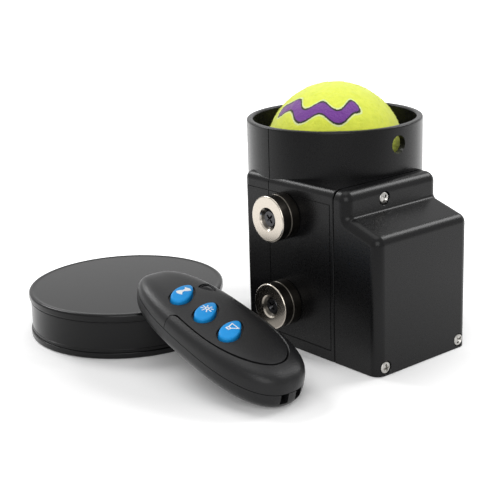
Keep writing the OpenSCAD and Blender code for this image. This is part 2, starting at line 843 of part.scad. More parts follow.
module motor_can() {
    color(steel) {
        intersection() {
            translate([can_x, pinion_y, hinge_z]) along_x() cylinder(d = motor_h, h = can_len);
            translate([can_x, pinion_y - motor_w / 2, hinge_z - motor_h])
                cube([can_len, motor_w, 2 * motor_h]);
        }
        translate([can_x + can_len - 0.1, pinion_y, hinge_z]) along_x() cylinder(r = 2.5, h = 1.1);
    }
}

module motor_bracket() {
    color(dark_grey) difference() {
        union() {
            translate([bracket_x, bracket_front, bracket_low])
                cube([bracket_len, mount_face_y - bracket_front, bracket_top - bracket_low]);
            translate([bracket_x, mount_face_y - foot_t, bracket_low - foot_len])
                cube([bracket_len, foot_t, bracket_top - bracket_low + 2 * foot_len]);
        }
        intersection() {
            translate([bracket_x - 1, pinion_y, hinge_z]) along_x()
                cylinder(r = motor_h / 2 + set_gap, h = bracket_len + 2);
            translate([bracket_x - 2, pinion_y - motor_w / 2 - set_gap, hinge_z - motor_h])
                cube([bracket_len + 4, motor_w + 2 * set_gap, 2 * motor_h]);
        }
        for (z = foot_screw_z)
            translate([foot_screw_x, mount_face_y + 1, z]) along_front()
                cylinder(r = small_screw_r + 0.1, h = 10, $fn = 32);
    }
}

module bracket_screws() {
    color(steel) for (z = foot_screw_z)
        translate([foot_screw_x, mount_face_y - foot_t, z]) along_front()
            dome_screw(small_screw_r, small_head_r, small_head_t, foot_t + screw_bite);
}

module circuit_board() {
    color(board_green) difference() {
        translate([board_left, board_front, board_low]) cube([board_w, board_t, board_h]);
        for (b = board_holes)
            translate([b[0], 0, b[1]]) along_front() cylinder(r = small_screw_r + 0.1, h = 100, $fn = 32);
    }
}

module board_screws() {
    color(steel) for (b = board_holes)
        translate([b[0], board_front, b[1]]) along_front()
            dome_screw(small_screw_r, small_head_r, small_head_t, board_t + board_stand + 2);
}

module receiver_module() {
    color(steel) translate([receiver_at[0], board_front - receiver_size[1], receiver_at[1]])
        cube(receiver_size);
}

module buzzer() {
    color(dark_grey) translate([buzzer_at[0], board_front, buzzer_at[1]]) along_front() difference() {
        cylinder(r = buzzer_r, h = buzzer_t);
        translate([0, 0, buzzer_t - 1]) cylinder(r = buzzer_hole_r, h = 2, $fn = 32);
    }
}

module capacitor() {
    color([0.2, 0.25, 0.5]) translate([capacitor_at[0], board_front, capacitor_at[1]]) along_front()
        cylinder(r = capacitor_r, h = buzzer_t);
}

module aerial() {
    color(brass) translate([aerial_at[0], board_front - aerial_r, aerial_at[1]])
        cylinder(r = aerial_r, h = aerial_len, $fn = 32);
}

module cell_tray() {
    color(dark_grey) difference() {
        union() {
            translate([tray_left, tray_front, tray_low])
                cube([tray_right - tray_left, tray_floor, tray_top - tray_low]);
            for (x = [tray_left, tray_right - tray_wall])
                translate([x, tray_side_y, tray_low])
                    cube([tray_wall, tray_back - tray_side_y, tray_top - tray_low]);
        }
        for (x = tray_screw_x)
            translate([x, 0, tray_screw_z]) along_front()
                cylinder(r = small_screw_r + 0.1, h = 100, $fn = 32);
    }
}

module tray_screws() {
    color(steel) for (x = tray_screw_x)
        translate([x, tray_front, tray_screw_z]) along_front()
            dome_screw(small_screw_r, tray_head_r, small_head_t, tray_floor + screw_bite);
}

module cells() {
    color([0.15, 0.15, 0.6]) {
        translate([cell_left, cell_y, cell_z[0]]) along_x() cylinder(r = cell_r, h = cell_len - nub_len);
        translate([cell_right - nub_len - 0.1, cell_y, cell_z[0]]) along_x()
            cylinder(r = nub_r, h = nub_len + 0.1);
        translate([cell_left + nub_len, cell_y, cell_z[1]]) along_x()
            cylinder(r = cell_r, h = cell_len - nub_len);
        translate([cell_left, cell_y, cell_z[1]]) along_x() cylinder(r = nub_r, h = nub_len + 0.1);
    }
}

module cell_contacts() {
    color(steel) for (x = [cell_left - contact_t, cell_right], z = cell_z)
        translate([x, cell_y - contact_w / 2, z - contact_w / 2]) cube([contact_t, contact_w, contact_w]);
}

module ball_felt() {
    color(felt_yellow) translate([0, 0, ball_z]) difference() {
        sphere(ball_r);
        sphere(ball_r - felt_t);
    }
}

module ball_rubber() {
    color(dark_grey) translate([0, 0, ball_z]) difference() {
        sphere(ball_r - felt_t);
        sphere(ball_r - felt_t - rubber_t);
    }
}

module lid() {
    color(shell_black) translate([lid_x, lid_y, 0]) rotate_extrude() difference() {
        union() {
            square([lid_wall_r, lid_h - lid_round]);
            square([lid_r - lid_round, lid_h]);
            translate([0, lid_h - top_bead_h]) square([lid_r, top_bead_h - lid_round]);
            translate([lid_r - lid_round, lid_h - lid_round]) circle(lid_round, $fn = 48);
            square([lid_r, low_bead_h]);
        }
        translate([-1, -1]) square([lid_in_r + 1, lid_h - lid_top + 1]);
        translate([lid_collar_r, -1]) square([lid_moat, lid_h - lid_top + 1]);
        translate([lid_in_r - 1, -1]) square([lid_collar + 2, collar_lift + 1]);
    }
}

// puts a piece drawn in the remote's own frame where the remote leans
module in_remote() {
    translate(remote_at) rotate([remote_lean, 0, 0]) children();
}

// the remote's outside as one smooth body
module remote_body() {
    rows = loft_rows - 1;
    points = concat(
        [[0, 0, -belt * remote_depth(0)]],
        [for (i = [1:rows], j = [0:loft_cols - 1]) ring_point(ring_y(i), 360 * j / loft_cols)],
        [[0, remote_len, -belt * remote_depth(remote_len)]]
    );
    last = rows * loft_cols + 1;
    faces = concat(
        [for (j = [0:loft_cols - 1]) [0, 1 + (j + 1) % loft_cols, 1 + j]],
        [for (i = [0:rows - 2], j = [0:loft_cols - 1])
            [1 + i * loft_cols + j, 1 + i * loft_cols + (j + 1) % loft_cols, 1 + (i + 1) * loft_cols + j]],
        [for (i = [0:rows - 2], j = [0:loft_cols - 1])
            [1 + (i + 1) * loft_cols + j, 1 + i * loft_cols + (j + 1) % loft_cols,
                1 + (i + 1) * loft_cols + (j + 1) % loft_cols]],
        [for (j = [0:loft_cols - 1])
            [last, 1 + (rows - 1) * loft_cols + j, 1 + (rows - 1) * loft_cols + (j + 1) % loft_cols]]
    );
    polyhedron(points, faces);
}

// plan of the top panel, made smaller by an inset
module panel_plan(inset) {
    low = panel_nose + inset;
    high = remote_len - panel_inset - inset;
    half = half_w - panel_inset - inset;
    steps = 28;
    polygon(concat(
        [for (i = [0:steps]) let(y = low + (high - low) * (1 - cos(180 * i / steps)) / 2)
            [panel_half(y, low, high, half), y]],
        [for (i = [steps - 1:-1:1]) let(y = low + (high - low) * (1 - cos(180 * i / steps)) / 2)
            [-panel_half(y, low, high, half), y]]
    ));
}

// upright prism on a plan of the remote
module plan_block(low, high, inset) {
    translate([0, 0, low]) linear_extrude(high - low) panel_plan(inset);
}

module egg_block(low, high, grow) {
    translate([0, 0, low]) rotate([0, 0, button_turn]) linear_extrude(high - low)
        polygon([for (i = [0:47]) egg(360 * i / 48, grow)]);
}

// prism on a three-cornered plan with bowed sides
module lens_block(low, high, grow) {
    translate([lens_at[0], lens_at[1], low]) linear_extrude(high - low) intersection_for (k = [0:2])
        translate(polar(lens_corner, lens_turn + 120 * k)) circle(lens_corner * sqrt(3) + grow, $fn = 96);
}

// everything above the tilted seam between the two cases
module above_seam() {
    translate([-far / 2, 0, -remote_seam]) rotate([seam_tilt, 0, 0]) translate([0, -far / 2, 0])
        cube([far, 2 * far, far]);
}

// the room under the top panel, whose roof follows the panel
module top_room() {
    intersection() {
        translate([0, 0, -remote_wall]) remote_body();
        plan_block(-far, 5, remote_wall);
    }
}

module remote_top_case() {
    color(dark_grey) in_remote() difference() {
        intersection() {
            remote_body();
            above_seam();
            union() {
                plan_block(-far, 5, 0);
                translate([-far / 2, bumper_end, -far / 2]) cube([far, far, far]);
            }
        }
        difference() {
            top_room();
            for (y = case_screw_y)
                translate([0, y, -far]) cylinder(r = case_boss_r, h = far, $fn = 48);
        }
        for (y = button_y)
            translate([button_x, y, 0]) {
                egg_block(-5, 5, free_gap);
                egg_block(-recess_depth, 5, recess_grow);
            }
        lens_block(-lens_depth, 5, 0);
        for (y = case_screw_y)
            translate([0, y, seam_z(y) - head_shelf])
                cylinder(r = small_screw_r + set_gap, h = case_screw_len + 0.3, $fn = 32);
    }
}

module remote_bumper() {
    color(dark_grey) in_remote() difference() {
        intersection() {
            remote_body();
            above_seam();
            translate([-far / 2, bumper_end - far, -far / 2]) cube([far, far, far]);
        }
        plan_block(-far, 5, 0);
    }
}

module remote_bottom_case() {
    slot_low = -remote_seam - slot_h;
    floor_z = -remote_seam - case_floor;
    color(dark_grey) in_remote() difference() {
        remote_body();
        above_seam();
        difference() {
            plan_block(floor_z, 5, remote_wall);
            for (x = [-key_post_x, key_post_x], y = key_post_y)
                translate([x, y, -far])
                    cylinder(r = key_post_r, h = far + key_board_z - key_board_t, $fn = 32);
            for (y = case_screw_y)
                translate([0, y, -far]) cylinder(r = case_boss_r, h = far, $fn = 48);
        }
        for (y = case_screw_y) {
            translate([0, y, -far]) cylinder(r = small_screw_r + 0.1, h = 2 * far, $fn = 32);
            translate([0, y, -far])
                cylinder(r = small_head_r + 0.2, h = far + seam_z(y) - head_shelf, $fn = 48);
        }
        difference() {
            translate([slot_x[0] - slot_w / 2, -2, slot_low])
                cube([slot_x[1] - slot_x[0] + slot_w, slot_back + 2, slot_h + 1]);
            translate([slot_x[0] + slot_w / 2, -3, slot_low - 1])
                cube([slot_x[1] - slot_x[0] - slot_w, slot_bar_back + 3, slot_h + 3]);
        }
    }
}

module remote_lens() {
    color([0.02, 0.02, 0.03]) in_remote() intersection() {
        translate([0, 0, -0.2]) remote_body();
        lens_block(-lens_depth, 5, -0.05);
    }
}

// one button in its own place along the remote
module remote_button(y) {
    color(button_blue) in_remote() translate([button_x, y, 0]) {
        intersection() {
            egg_block(flange_top - flange_t, 5, 0);
            translate([0, 0, button_rise - button_dome_r]) rotate([90, 0, 0]) sphere(button_dome_r);
        }
        egg_block(flange_top - flange_t, flange_top, flange);
    }
}

module drop_button() {
    remote_button(button_y[0]);
}

module light_button() {
    remote_button(button_y[1]);
}

module sound_button() {
    remote_button(button_y[2]);
}

module remote_board() {
    color(board_green) in_remote() translate([-key_board_w / 2, key_board_low, key_board_z - key_board_t])
        cube([key_board_w, key_board_high - key_board_low, key_board_t]);
}

module key_switches() {
    color(steel) in_remote() for (y = button_y)
        translate([button_x, y, key_board_z]) {
            translate([-key_body_w / 2, -key_body_w / 2, 0]) cube([key_body_w, key_body_w, key_body_h]);
            cylinder(r = key_stem_r, h = key_top - key_board_z, $fn = 32);
        }
}

module coin_cell() {
    color(steel) in_remote() translate([coin_at[0], coin_at[1], key_board_z - key_board_t - cell_coin_t])
        cylinder(r = cell_coin_r, h = cell_coin_t);
}

module coin_holder() {
    at = [coin_at[0], coin_at[1], key_board_z - key_board_t - cell_coin_t];
    color(dark_grey) in_remote() difference() {
        translate(at) cylinder(r = cell_coin_r + coin_wall, h = cell_coin_t);
        translate(at - [0, 0, 1]) cylinder(r = cell_coin_r + set_gap, h = 10);
        translate(at - [coin_mouth_w / 2, far, 1]) cube([coin_mouth_w, far, 10]);
    }
}

module remote_screws() {
    color(steel) in_remote() for (y = case_screw_y)
        translate([0, y, seam_z(y) - head_shelf]) rotate([180, 0, 0])
            dome_screw(small_screw_r, small_head_r, small_head_t, case_screw_len);
}

front_shell();
rear_shell();
motor_cover();
cover_seal();
cover_screws();
face_magnets();
base_magnets();
magnet_screws();
magnet_inserts();
release_flap();
flap_shaft();
flap_gear();
shaft_bushes();
pinion_gear();
motor_shaft();
gearbox_case();
motor_can();
motor_bracket();
bracket_screws();
circuit_board();
board_screws();
receiver_module();
buzzer();
capacitor();
aerial();
cell_tray();
tray_screws();
cells();
cell_contacts();
ball_felt();
ball_rubber();
lid();
remote_top_case();
remote_bumper();
remote_bottom_case();
remote_lens();
drop_button();
light_button();
sound_button();
remote_board();
key_switches();
coin_cell();
coin_holder();
remote_screws();
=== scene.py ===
import json
import math
import random

import bmesh
import bpy
from mathutils import Matrix, Vector, noise


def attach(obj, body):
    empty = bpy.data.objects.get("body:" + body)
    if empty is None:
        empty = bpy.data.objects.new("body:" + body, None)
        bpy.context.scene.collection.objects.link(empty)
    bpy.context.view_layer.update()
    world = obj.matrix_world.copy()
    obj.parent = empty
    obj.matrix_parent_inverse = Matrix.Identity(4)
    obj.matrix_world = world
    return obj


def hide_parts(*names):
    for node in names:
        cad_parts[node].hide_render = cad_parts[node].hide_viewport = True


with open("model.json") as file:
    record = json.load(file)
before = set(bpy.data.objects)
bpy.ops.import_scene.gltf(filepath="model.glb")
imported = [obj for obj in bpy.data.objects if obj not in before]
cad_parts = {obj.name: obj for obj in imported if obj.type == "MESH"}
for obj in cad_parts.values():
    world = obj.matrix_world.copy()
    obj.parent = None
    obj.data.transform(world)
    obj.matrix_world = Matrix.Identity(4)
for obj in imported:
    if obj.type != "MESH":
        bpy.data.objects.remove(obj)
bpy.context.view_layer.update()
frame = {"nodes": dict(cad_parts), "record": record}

# Lengths are in millimetres and the meshes in metres, as the frame is.
MM = 0.001
WELD_MM = 1e-5
WELD = 2e-7

# How far a cutting tool reaches past a surface
TOOL_PAST = 1.0

# Driving dimensions of the dropper unit
TUBE_R = 40.0
BORE_R = 37.0
RIM_Z = 97.6
RIM_ROUND = 0.9
TUBE_STEPS = 192
ROUND_STEPS = 64
BLOCK_LEFT = -40.7
BLOCK_RIGHT = 16.0
BLOCK_FRONT = -40.5
BLOCK_BACK = 17.4
BLOCK_TOP = 76.5
BLOCK_ROUND = 4.0
BLOCK_EDGE = 0.4
SHOULDER_ROUND = 3.6
LINE_W = 0.42
LINE_D = 0.35
SIDE_LINE_Y = (-38.5, 14.0)
SIDE_LINE_Z = (4.8, 70.0)
HOLE_Z = 89.5
HOLE_R = 4.0
POCKET_W = 17.2
POCKET_TOP = 52.0
POCKET_Y = (-39.6, -20.0)

# Drive cover
COVER_Y = -41.1
STEP_Y = -48.4
BOX_Y = -66.4
BOX_H = 65.4
BOX_FALL = 5.6
BOX_SLOPE = BOX_FALL / (STEP_Y - BOX_Y)
COVER_ROUND = 4.5
COVER_EDGE = 0.5
CREASE_ROUND = 1.6
COVER_WALL = 2.4
SCREW_SPOTS = ((-17.7, STEP_Y, 70.3), (-35.5, BOX_Y, 3.5), (10.7, BOX_Y, 3.5))
SCREW_R = 2.65
SCREW_RECESS_R = 3.0
SCREW_RECESS = 1.2
SCREW_LIP = 0.25
SCREW_HEAD = 1.4
SCREW_DOME = 0.75
SCREW_FOOT = 0.05
SCREW_BEVEL = 0.1
SCREW_STEPS = 48
SCREW_TURN = 0.5
SCREW_TURN_STEP = 0.9

# Cross drives: (length, width, depth), and how their arms narrow from above the head to the bottom
COVER_CROSS = (3.7, 1.0, 1.2)
MAGNET_CROSS = (4.6, 1.0, 1.4)
CROSS_START = -0.2
CROSS_WIDE = 1.05
CROSS_NARROW = 0.55
CROSS_STRAIGHT = 0.6

# Magnets on the flat side
MAGNET_Y = -10.2
MAGNET_Z = (60.4, 20.6)
MAGNET_R = 10.25
MAGNET_T = 5.0
MAGNET_LIP = 0.6
MAGNET_GAP = 0.02
MAGNET_CONE_R = 5.0
MAGNET_CONE_LIP = (0.25, 0.2)
MAGNET_HOLE_R = 2.2
MAGNET_SINK = 1.3
MAGNET_STEPS = 96
MAGNET_FACE_X = BLOCK_LEFT - 2 * MAGNET_T
# Depths behind a magnet's outer face over which the painted shade on its sides fades in
MAGNET_SHADE_FADE = (0.35, 0.75)
HEAD_PLAY = 0.12
HEAD_LIP = ((0.25, 0.18), (0.4, 0.0))
SHANK_PLAY = 0.2
SHANK_L = 4.0

# Ball
BALL_R = 32.0
BALL_Z = 81.2
NAP = 0.55
LUMP = 0.16
LUMP_SCALES = (9.0, 42.0)
TUFT = 0.12
TUFT_SCALE = 130.0
FIBRES = 5200
FIBRE_SEED = 7
FIBRE_LONG = (0.9, 1.9)
FIBRE_THICK = (0.03, 0.055)
FIBRE_TAPER = 0.75
FIBRE_FLAT = 0.6
FIBRE_RISE = ((0.0, -0.2), (0.5, 0.28), (1.0, 0.45))
FIBRE_CORNERS = (0.0, 2.1, 4.2)

# Stripe on the ball, in degrees over the surface
STRIPE_LAT = 44.0
STRIPE_SWING = 4.6
STRIPE_WAVES = 9.0
STRIPE_HALF = 5.2
STRIPE_LINE = 7.0
STRIPE_PALE = 8.6
STRIPE_FUZZ = 0.8
STRIPE_MID = math.radians(-158.0)
STRIPE_REACH = 48.0

# Lid
LID_AT = (-76.0, 64.0)
LID_BORE_R = 40.2
LID_COLLAR_R = LID_BORE_R + 1.3
LID_MOAT_R = LID_COLLAR_R + 2.2
LID_WALL_R = LID_MOAT_R + 1.3
LID_R = LID_WALL_R + 0.7
LID_H = 20.6
LID_TOP_T = 2.4
LID_BEAD_H = 3.0
LID_FOOT = 2.6
LID_COLLAR_LIFT = 2.0
LID_ROUND = 1.2
LID_EDGE = 0.35
LID_LINE_GAP = 0.1
LID_LINE_DROP = 2.2
LID_LINE_UP = 0.8
LID_LINE_H = 0.7
LID_LINE_OUT = 0.2
LID_LINE_SLANT = 0.15
LID_GROOVE = (1.9, 2.3, 2.9)
LID_GROOVE_D = (0.02, 0.22, 0.16)
LID_SAG = 0.06
LID_STEPS = 224

# Remote, in its own frame: upper panel at z 0, lower tip at y 0, length along +y
REMOTE_L = 95.6
REMOTE_HALF_W = 19.6
REMOTE_WIDEST = 0.433 * REMOTE_L
REMOTE_DEPTH = (20.6, 18.1)
REMOTE_WALL = 1.8
REMOTE_BELT = 0.527
REMOTE_FAR = 60.0
PLAN_POWER = 2.48
PANEL_POWER = 2.1
END_POWER = 4.0
TOP_POWER = 3.86
LOW_POWER = 2.5
REMOTE_SIDE = 11.0
REMOTE_LAP = 11.2
REST_GAP = 0.3
SEAM_D = 9.9
SEAM_TILT = math.radians(2.0)
SEAM_GAP = 0.28
CASE_FLOOR = 5.0
BUMPER_END = 59.5
BUMPER_CORNER = 3.2
BUMPER_CHAMFER = (-1.75, -0.5)
BUMPER_PAST = (8.0, 6.0)
PANEL_INSET = 4.1
PANEL_NOSE = 9.1
BUTTON_X = -3.6
BUTTON_PITCH = 16.3
BUTTON_Y = tuple(REMOTE_L - 27.6 - BUTTON_PITCH * k for k in range(3))
BUTTON_HALF = (8.0, 3.8)
BUTTON_TURN = math.radians(29.0)
BUTTON_TAPER = 0.3
BUTTON_RISE = 1.9
BUTTON_DOME_R = 30.0
BUTTON_EDGE = 0.8
BUTTON_STEPS = 72
DOME_RINGS = (0.8, 0.6, 0.4, 0.2, 0.03)
FLANGE_Z = (-3.7, -2.8)
FLANGE = 0.7
RECESS_GROW = 1.1
RECESS_D = 1.2
HOLE_GROW = 0.35
HOLE_D = 6.0
ICON_LEVELS = (-0.15, 0.14)
ICON_LINE = 0.5
SUN_RING = (0.55, 1.15)
SUN_RAY = (1.7, 2.5)
LENS_AT = (10.6, REMOTE_L - 26.7)
LENS_CORNER = 4.1
LENS_TURN = 40.0
LENS_D = 1.5
LENS_GAP = 0.05
LENS_RIM = 0.4
SLOT_X = (-2.8, 4.8)
SLOT_W = 3.6
SLOT_H = 4.6
SLOT_D = 6.0
SLOT_PAST = (5.0, 1.0)

# Surface patterns: scales per metre, a depth in metres, a spread of roughness
BROAD_SCALE = 45.0
DRAWN_SCALE = 900.0
FUZZ_SCALE = 1500.0
WOOL_SCALE = 420.0
TRACK_SCALE = 260.0
DRAWN_DEPTH = 0.00001
GLOSS_SPREAD = 0.05

# Floor: its size in millimetres, the rest in metres
FLOOR_HALF = 4000.0
FLOOR_Z = (-20.0, -0.3)
FLOOR_MID = (-0.055, 0.012, 0.0)
FLOOR_NEAR = 0.08
FLOOR_MIRRORED = 0.4
FLOOR_FAR = (0.07, 0.2)
FLOOR_FRONT = 0.1
FLOOR_FRONT_SPAN = (-0.4, -0.16)

# World and lamps, in metres and watts
WORLD_LEVEL = 0.25
CAMERA_RAYS = ("Is Camera Ray",)
MIRROR_RAYS = ("Is Glossy Ray", "Is Transmission Ray")
LAMP_AIM = (-0.03, -0.03, 0.05)
OVERHEAD_AT = (-0.04, 0.06, 1.0)
OVERHEAD_AIM = (-0.04, 0.0, 0.0)
OVERHEAD_SIZE = 0.6
OVERHEAD_POWER = 2.0
BACK_AT = (-0.2, 0.78, 0.74)
BACK_POWER = 4.6
RIGHT_AT = (0.76, -0.2, 0.76)
RIGHT_POWER = 4.2
SIDE_SIZE = 0.38
FRONT_AT = (-0.7, -0.75, 0.55)
FRONT_SIZE = 0.7
FRONT_POWER = 5.4

# Fitted camera
CAMERA_AT = (-380.0, -393.5, 198.24)
CAMERA_AZ = math.radians(-39.773)
CAMERA_DOWN = math.radians(16.673)
CAMERA_ROLL = math.radians(-1.847)
CAMERA_LENS = 87.29
CAMERA_CLIP = (0.01, 50.0)
SENSOR = 36.0


# Mesh helpers

def new_object(name, bm):
    """Linked object from a bmesh, which is used up."""
    mesh = bpy.data.meshes.new(name)
    bm.to_mesh(mesh)
    bm.free()
    obj = bpy.data.objects.new(name, mesh)
    bpy.context.scene.collection.objects.link(obj)
    return obj


def discard(obj):
    """Removes an object and its mesh."""
    spent = obj.data
    bpy.data.objects.remove(obj)
    bpy.data.meshes.remove(spent)


def to_object(name, bm):
    """Object from a bmesh in millimetres, with its normals outwards."""
    bmesh.ops.recalc_face_normals(bm, faces=bm.faces)
    bmesh.ops.scale(bm, vec=(MM, MM, MM), verts=bm.verts)
    return new_object(name, bm)


def stack(name, rings, loop=False):
    """Closed skin through rings of equal length, with caps, or without them if the rings loop."""
    bm = bmesh.new()
    rows = [[bm.verts.new(p) for p in ring] for ring in rings]
    count = len(rows[0])
    pairs = list(zip(rows, rows[1:]))
    if loop:
        pairs.append((rows[-1], rows[0]))
    for low, high in pairs:
        for i in range(count):
            j = (i + 1) % count
            bm.faces.new((low[i], low[j], high[j], high[i]))
    if not loop:
        bm.faces.new(rows[0])
        bm.faces.new(rows[-1])
    bmesh.ops.remove_doubles(bm, verts=bm.verts, dist=WELD_MM)
    bmesh.ops.dissolve_degenerate(bm, edges=bm.edges, dist=WELD_MM)
    return to_object(name, bm)


def lathe(name, profile, steps, place=None):
    """Closed ring or disc swept from a closed outline of (radius, height) pairs."""
    place = place or Matrix.Identity(4)
    rings = []
    for k in range(steps):
        a = 2 * math.pi * k / steps
        rings.append([place @ Vector((r * math.cos(a), r * math.sin(a), h)) for r, h in profile])
    return stack(name, rings, loop=True)


def prism(name, outline, low, high, place=None):
    """Straight prism over a plan outline."""
    place = place or Matrix.Identity(4)
    rings = [[place @ Vector((x, y, z)) for x, y in outline] for z in (low, high)]
    return stack(name, rings)


def box(name, low, high, place=None):
    """Box between two corners."""
    outline = ((low[0], low[1]), (high[0], low[1]), (high[0], high[1]), (low[0], high[1]))
    return prism(name, outline, low[2], high[2], place)


def arc(cx, cy, r, a0, a1, steps):
    """Points of an arc, angles in degrees."""
    turns = [math.radians(a0 + (a1 - a0) * k / steps) for k in range(steps + 1)]
    return [(cx + r * math.cos(t), cy + r * math.sin(t)) for t in turns]


def quarter(count):
    """Angles from zero to a right angle."""
    return [math.pi / 2 * k / count for k in range(count + 1)]


def rounding_steps(count):
    """(set-in, distance from the end) along a quarter-round edge of unit radius."""
    return [(1 - math.sin(t), 1 - math.cos(t)) for t in quarter(count)]


def rounded(corners, steps=8):
    """Outline through (x, y, radius) corners; every rounded corner gives steps + 1 points."""
    points = []
    for k, (x, y, r) in enumerate(corners):
        here = Vector((x, y))
        if r is None:
            points.append((x, y))
            continue
        before = (Vector(corners[k - 1][:2]) - here).normalized()
        after = (Vector(corners[(k + 1) % len(corners)][:2]) - here).normalized()
        half = before.angle(after) / 2
        reach = r / math.tan(half)
        centre = here + (before + after).normalized() * (r / math.sin(half))
        start = here + before * reach - centre
        sweep = start.angle_signed(here + after * reach - centre)
        for i in range(steps + 1):
            t = -sweep * i / steps
            turned = Vector((start.x * math.cos(t) - start.y * math.sin(t),
                             start.x * math.sin(t) + start.y * math.cos(t)))
            points.append(tuple(centre + turned))
    return points


def combine(obj, other, how):
    """Boolean with another solid, which is used up."""
    mod = obj.modifiers.new("cut", "BOOLEAN")
    mod.operation = how
    mod.solver = "MANIFOLD"
    mod.object = other
    graph = bpy.context.evaluated_depsgraph_get()
    mesh = bpy.data.meshes.new_from_object(obj.evaluated_get(graph))
    obj.modifiers.clear()
    old = obj.data
    obj.data = mesh
    bpy.data.meshes.remove(old)
    discard(other)
    return obj


def cut(obj, *others):
    for other in others:
        combine(obj, other, "DIFFERENCE")
    return obj


def join(obj, *others):
    for other in others:
        combine(obj, other, "UNION")
    return obj


def keep(obj, other):
    return combine(obj, other, "INTERSECT")


def twin(obj, name):
    """Copy of an object with a mesh of its own."""
    made = obj.copy()
    made.data = obj.data.copy()
    made.name = name
    bpy.context.scene.collection.objects.link(made)
    return made


def gather(name, parts):
    """One object from several, without a boolean."""
    bm = bmesh.new()
    for part in parts:
        bm.from_mesh(part.data)
        discard(part)
    return new_object(name, bm)


def smooth(obj, angle=32.0):
    """Soft shading up to an angle, with face-weighted normals."""
    bm = bmesh.new()
    bm.from_mesh(obj.data)
    bmesh.ops.remove_doubles(bm, verts=bm.verts, dist=WELD)
    bmesh.ops.dissolve_degenerate(bm, edges=bm.edges, dist=WELD)
    bm.to_mesh(obj.data)
    bm.free()
    obj.data.shade_smooth()
    obj.data.set_sharp_from_angle(angle=math.radians(angle))
    mod = obj.modifiers.new("normals", "WEIGHTED_NORMAL")
    mod.keep_sharp = True
    mod.weight = 60
    return obj


def piece(obj, body, slot, *nodes):
    """Gives a finished piece its material, its body and the nodes it stands for."""
    obj.data.materials.clear()
    obj.data.materials.append(MATERIALS[slot])
    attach(obj, body)
    if nodes:
        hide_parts(*nodes)
    return obj


# Materials

class Shader:
    """A node material with short calls for its nodes."""

    def __init__(self, name):
        self.name = name
        self.made = bpy.data.materials.new(name)
        self.made.use_nodes = True
        self.tree = self.made.node_tree
        self.shade = self.tree.nodes["Principled BSDF"]
        self.place = self.tree.nodes.new("ShaderNodeTexCoord").outputs["Object"]

    def link(self, a, b):
        self.tree.links.new(a, b)

    def give(self, name, value):
        spot = self.shade.inputs[name]
        if isinstance(value, bpy.types.NodeSocket):
            self.link(value, spot)
        else:
            spot.default_value = value

    def axes(self):
        node = self.tree.nodes.new("ShaderNodeSeparateXYZ")
        self.link(self.place, node.inputs[0])
        return node.outputs["X"], node.outputs["Y"], node.outputs["Z"]

    def noise(self, scale, detail=3.0, stretch=None):
        node = self.tree.nodes.new("ShaderNodeTexNoise")
        node.inputs["Scale"].default_value = scale
        node.inputs["Detail"].default_value = detail
        source = self.place
        if stretch:
            mapping = self.tree.nodes.new("ShaderNodeMapping")
            mapping.inputs["Scale"].default_value = stretch
            self.link(source, mapping.inputs["Vector"])
            source = mapping.outputs["Vector"]
        self.link(source, node.inputs["Vector"])
        return node.outputs["Fac"]

    def span(self, value, low, high, start=0.0, end=1.0):
        node = self.tree.nodes.new("ShaderNodeMapRange")
        node.inputs["From Min"].default_value = start
        node.inputs["From Max"].default_value = end
        node.inputs["To Min"].default_value = low
        node.inputs["To Max"].default_value = high
        self.link(value, node.inputs["Value"])
        return node.outputs["Result"]

    def mix(self, factor, a, b):
        node = self.tree.nodes.new("ShaderNodeMix")
        node.data_type = "RGBA"
        self.link(factor, node.inputs[0])
        for source, spot in ((a, node.inputs[6]), (b, node.inputs[7])):
            if isinstance(source, tuple):
                spot.default_value = (*source, 1.0)
            else:
                self.link(source, spot)
        return node.outputs[2]

    def math(self, how, a, b=None):
        node = self.tree.nodes.new("ShaderNodeMath")
        node.operation = how
        for source, spot in ((a, node.inputs[0]), (b, node.inputs[1])):
            if isinstance(source, (int, float)):
                spot.default_value = source
            elif source is not None:
                self.link(source, spot)
        return node.outputs[0]

    def bump(self, height, strength, distance):
        node = self.tree.nodes.new("ShaderNodeBump")
        node.inputs["Strength"].default_value = strength
        node.inputs["Distance"].default_value = distance
        self.link(height, node.inputs["Height"])
        self.link(node.outputs["Normal"], self.shade.inputs["Normal"])


def shade(colour, factor):
    """Lighter or darker colour."""
    return tuple(min(1.0, c * factor) for c in colour)


def grained(name, colour, rough, metal=0.0, grain=2600.0, depth=0.00002, spread=0.12, level=0.5):
    """Plastic, rubber or metal with a fine grain in colour, gloss and surface."""
    s = Shader(name)
    fine = s.noise(grain, detail=2.0)
    broad = s.noise(BROAD_SCALE)
    s.give("Base Color", s.mix(broad, shade(colour, 1.0 - spread), shade(colour, 1.0 + spread)))
    s.give("Roughness", s.span(fine, rough - GLOSS_SPREAD, rough + GLOSS_SPREAD))
    s.give("Metallic", metal)
    s.give("Specular IOR Level", level)
    s.bump(fine, strength=0.35, distance=depth)
    return s


def brushed(name, colour, rough, stretch):
    """Metal with faint drawn lines."""
    s = Shader(name)
    lines = s.noise(DRAWN_SCALE, stretch=stretch)
    s.give("Base Color", s.mix(lines, shade(colour, 0.9), shade(colour, 1.08)))
    s.give("Roughness", s.span(lines, rough * 0.7, rough * 1.3))
    s.give("Metallic", 1.0)
    s.bump(lines, strength=0.12, distance=DRAWN_DEPTH)
    return s


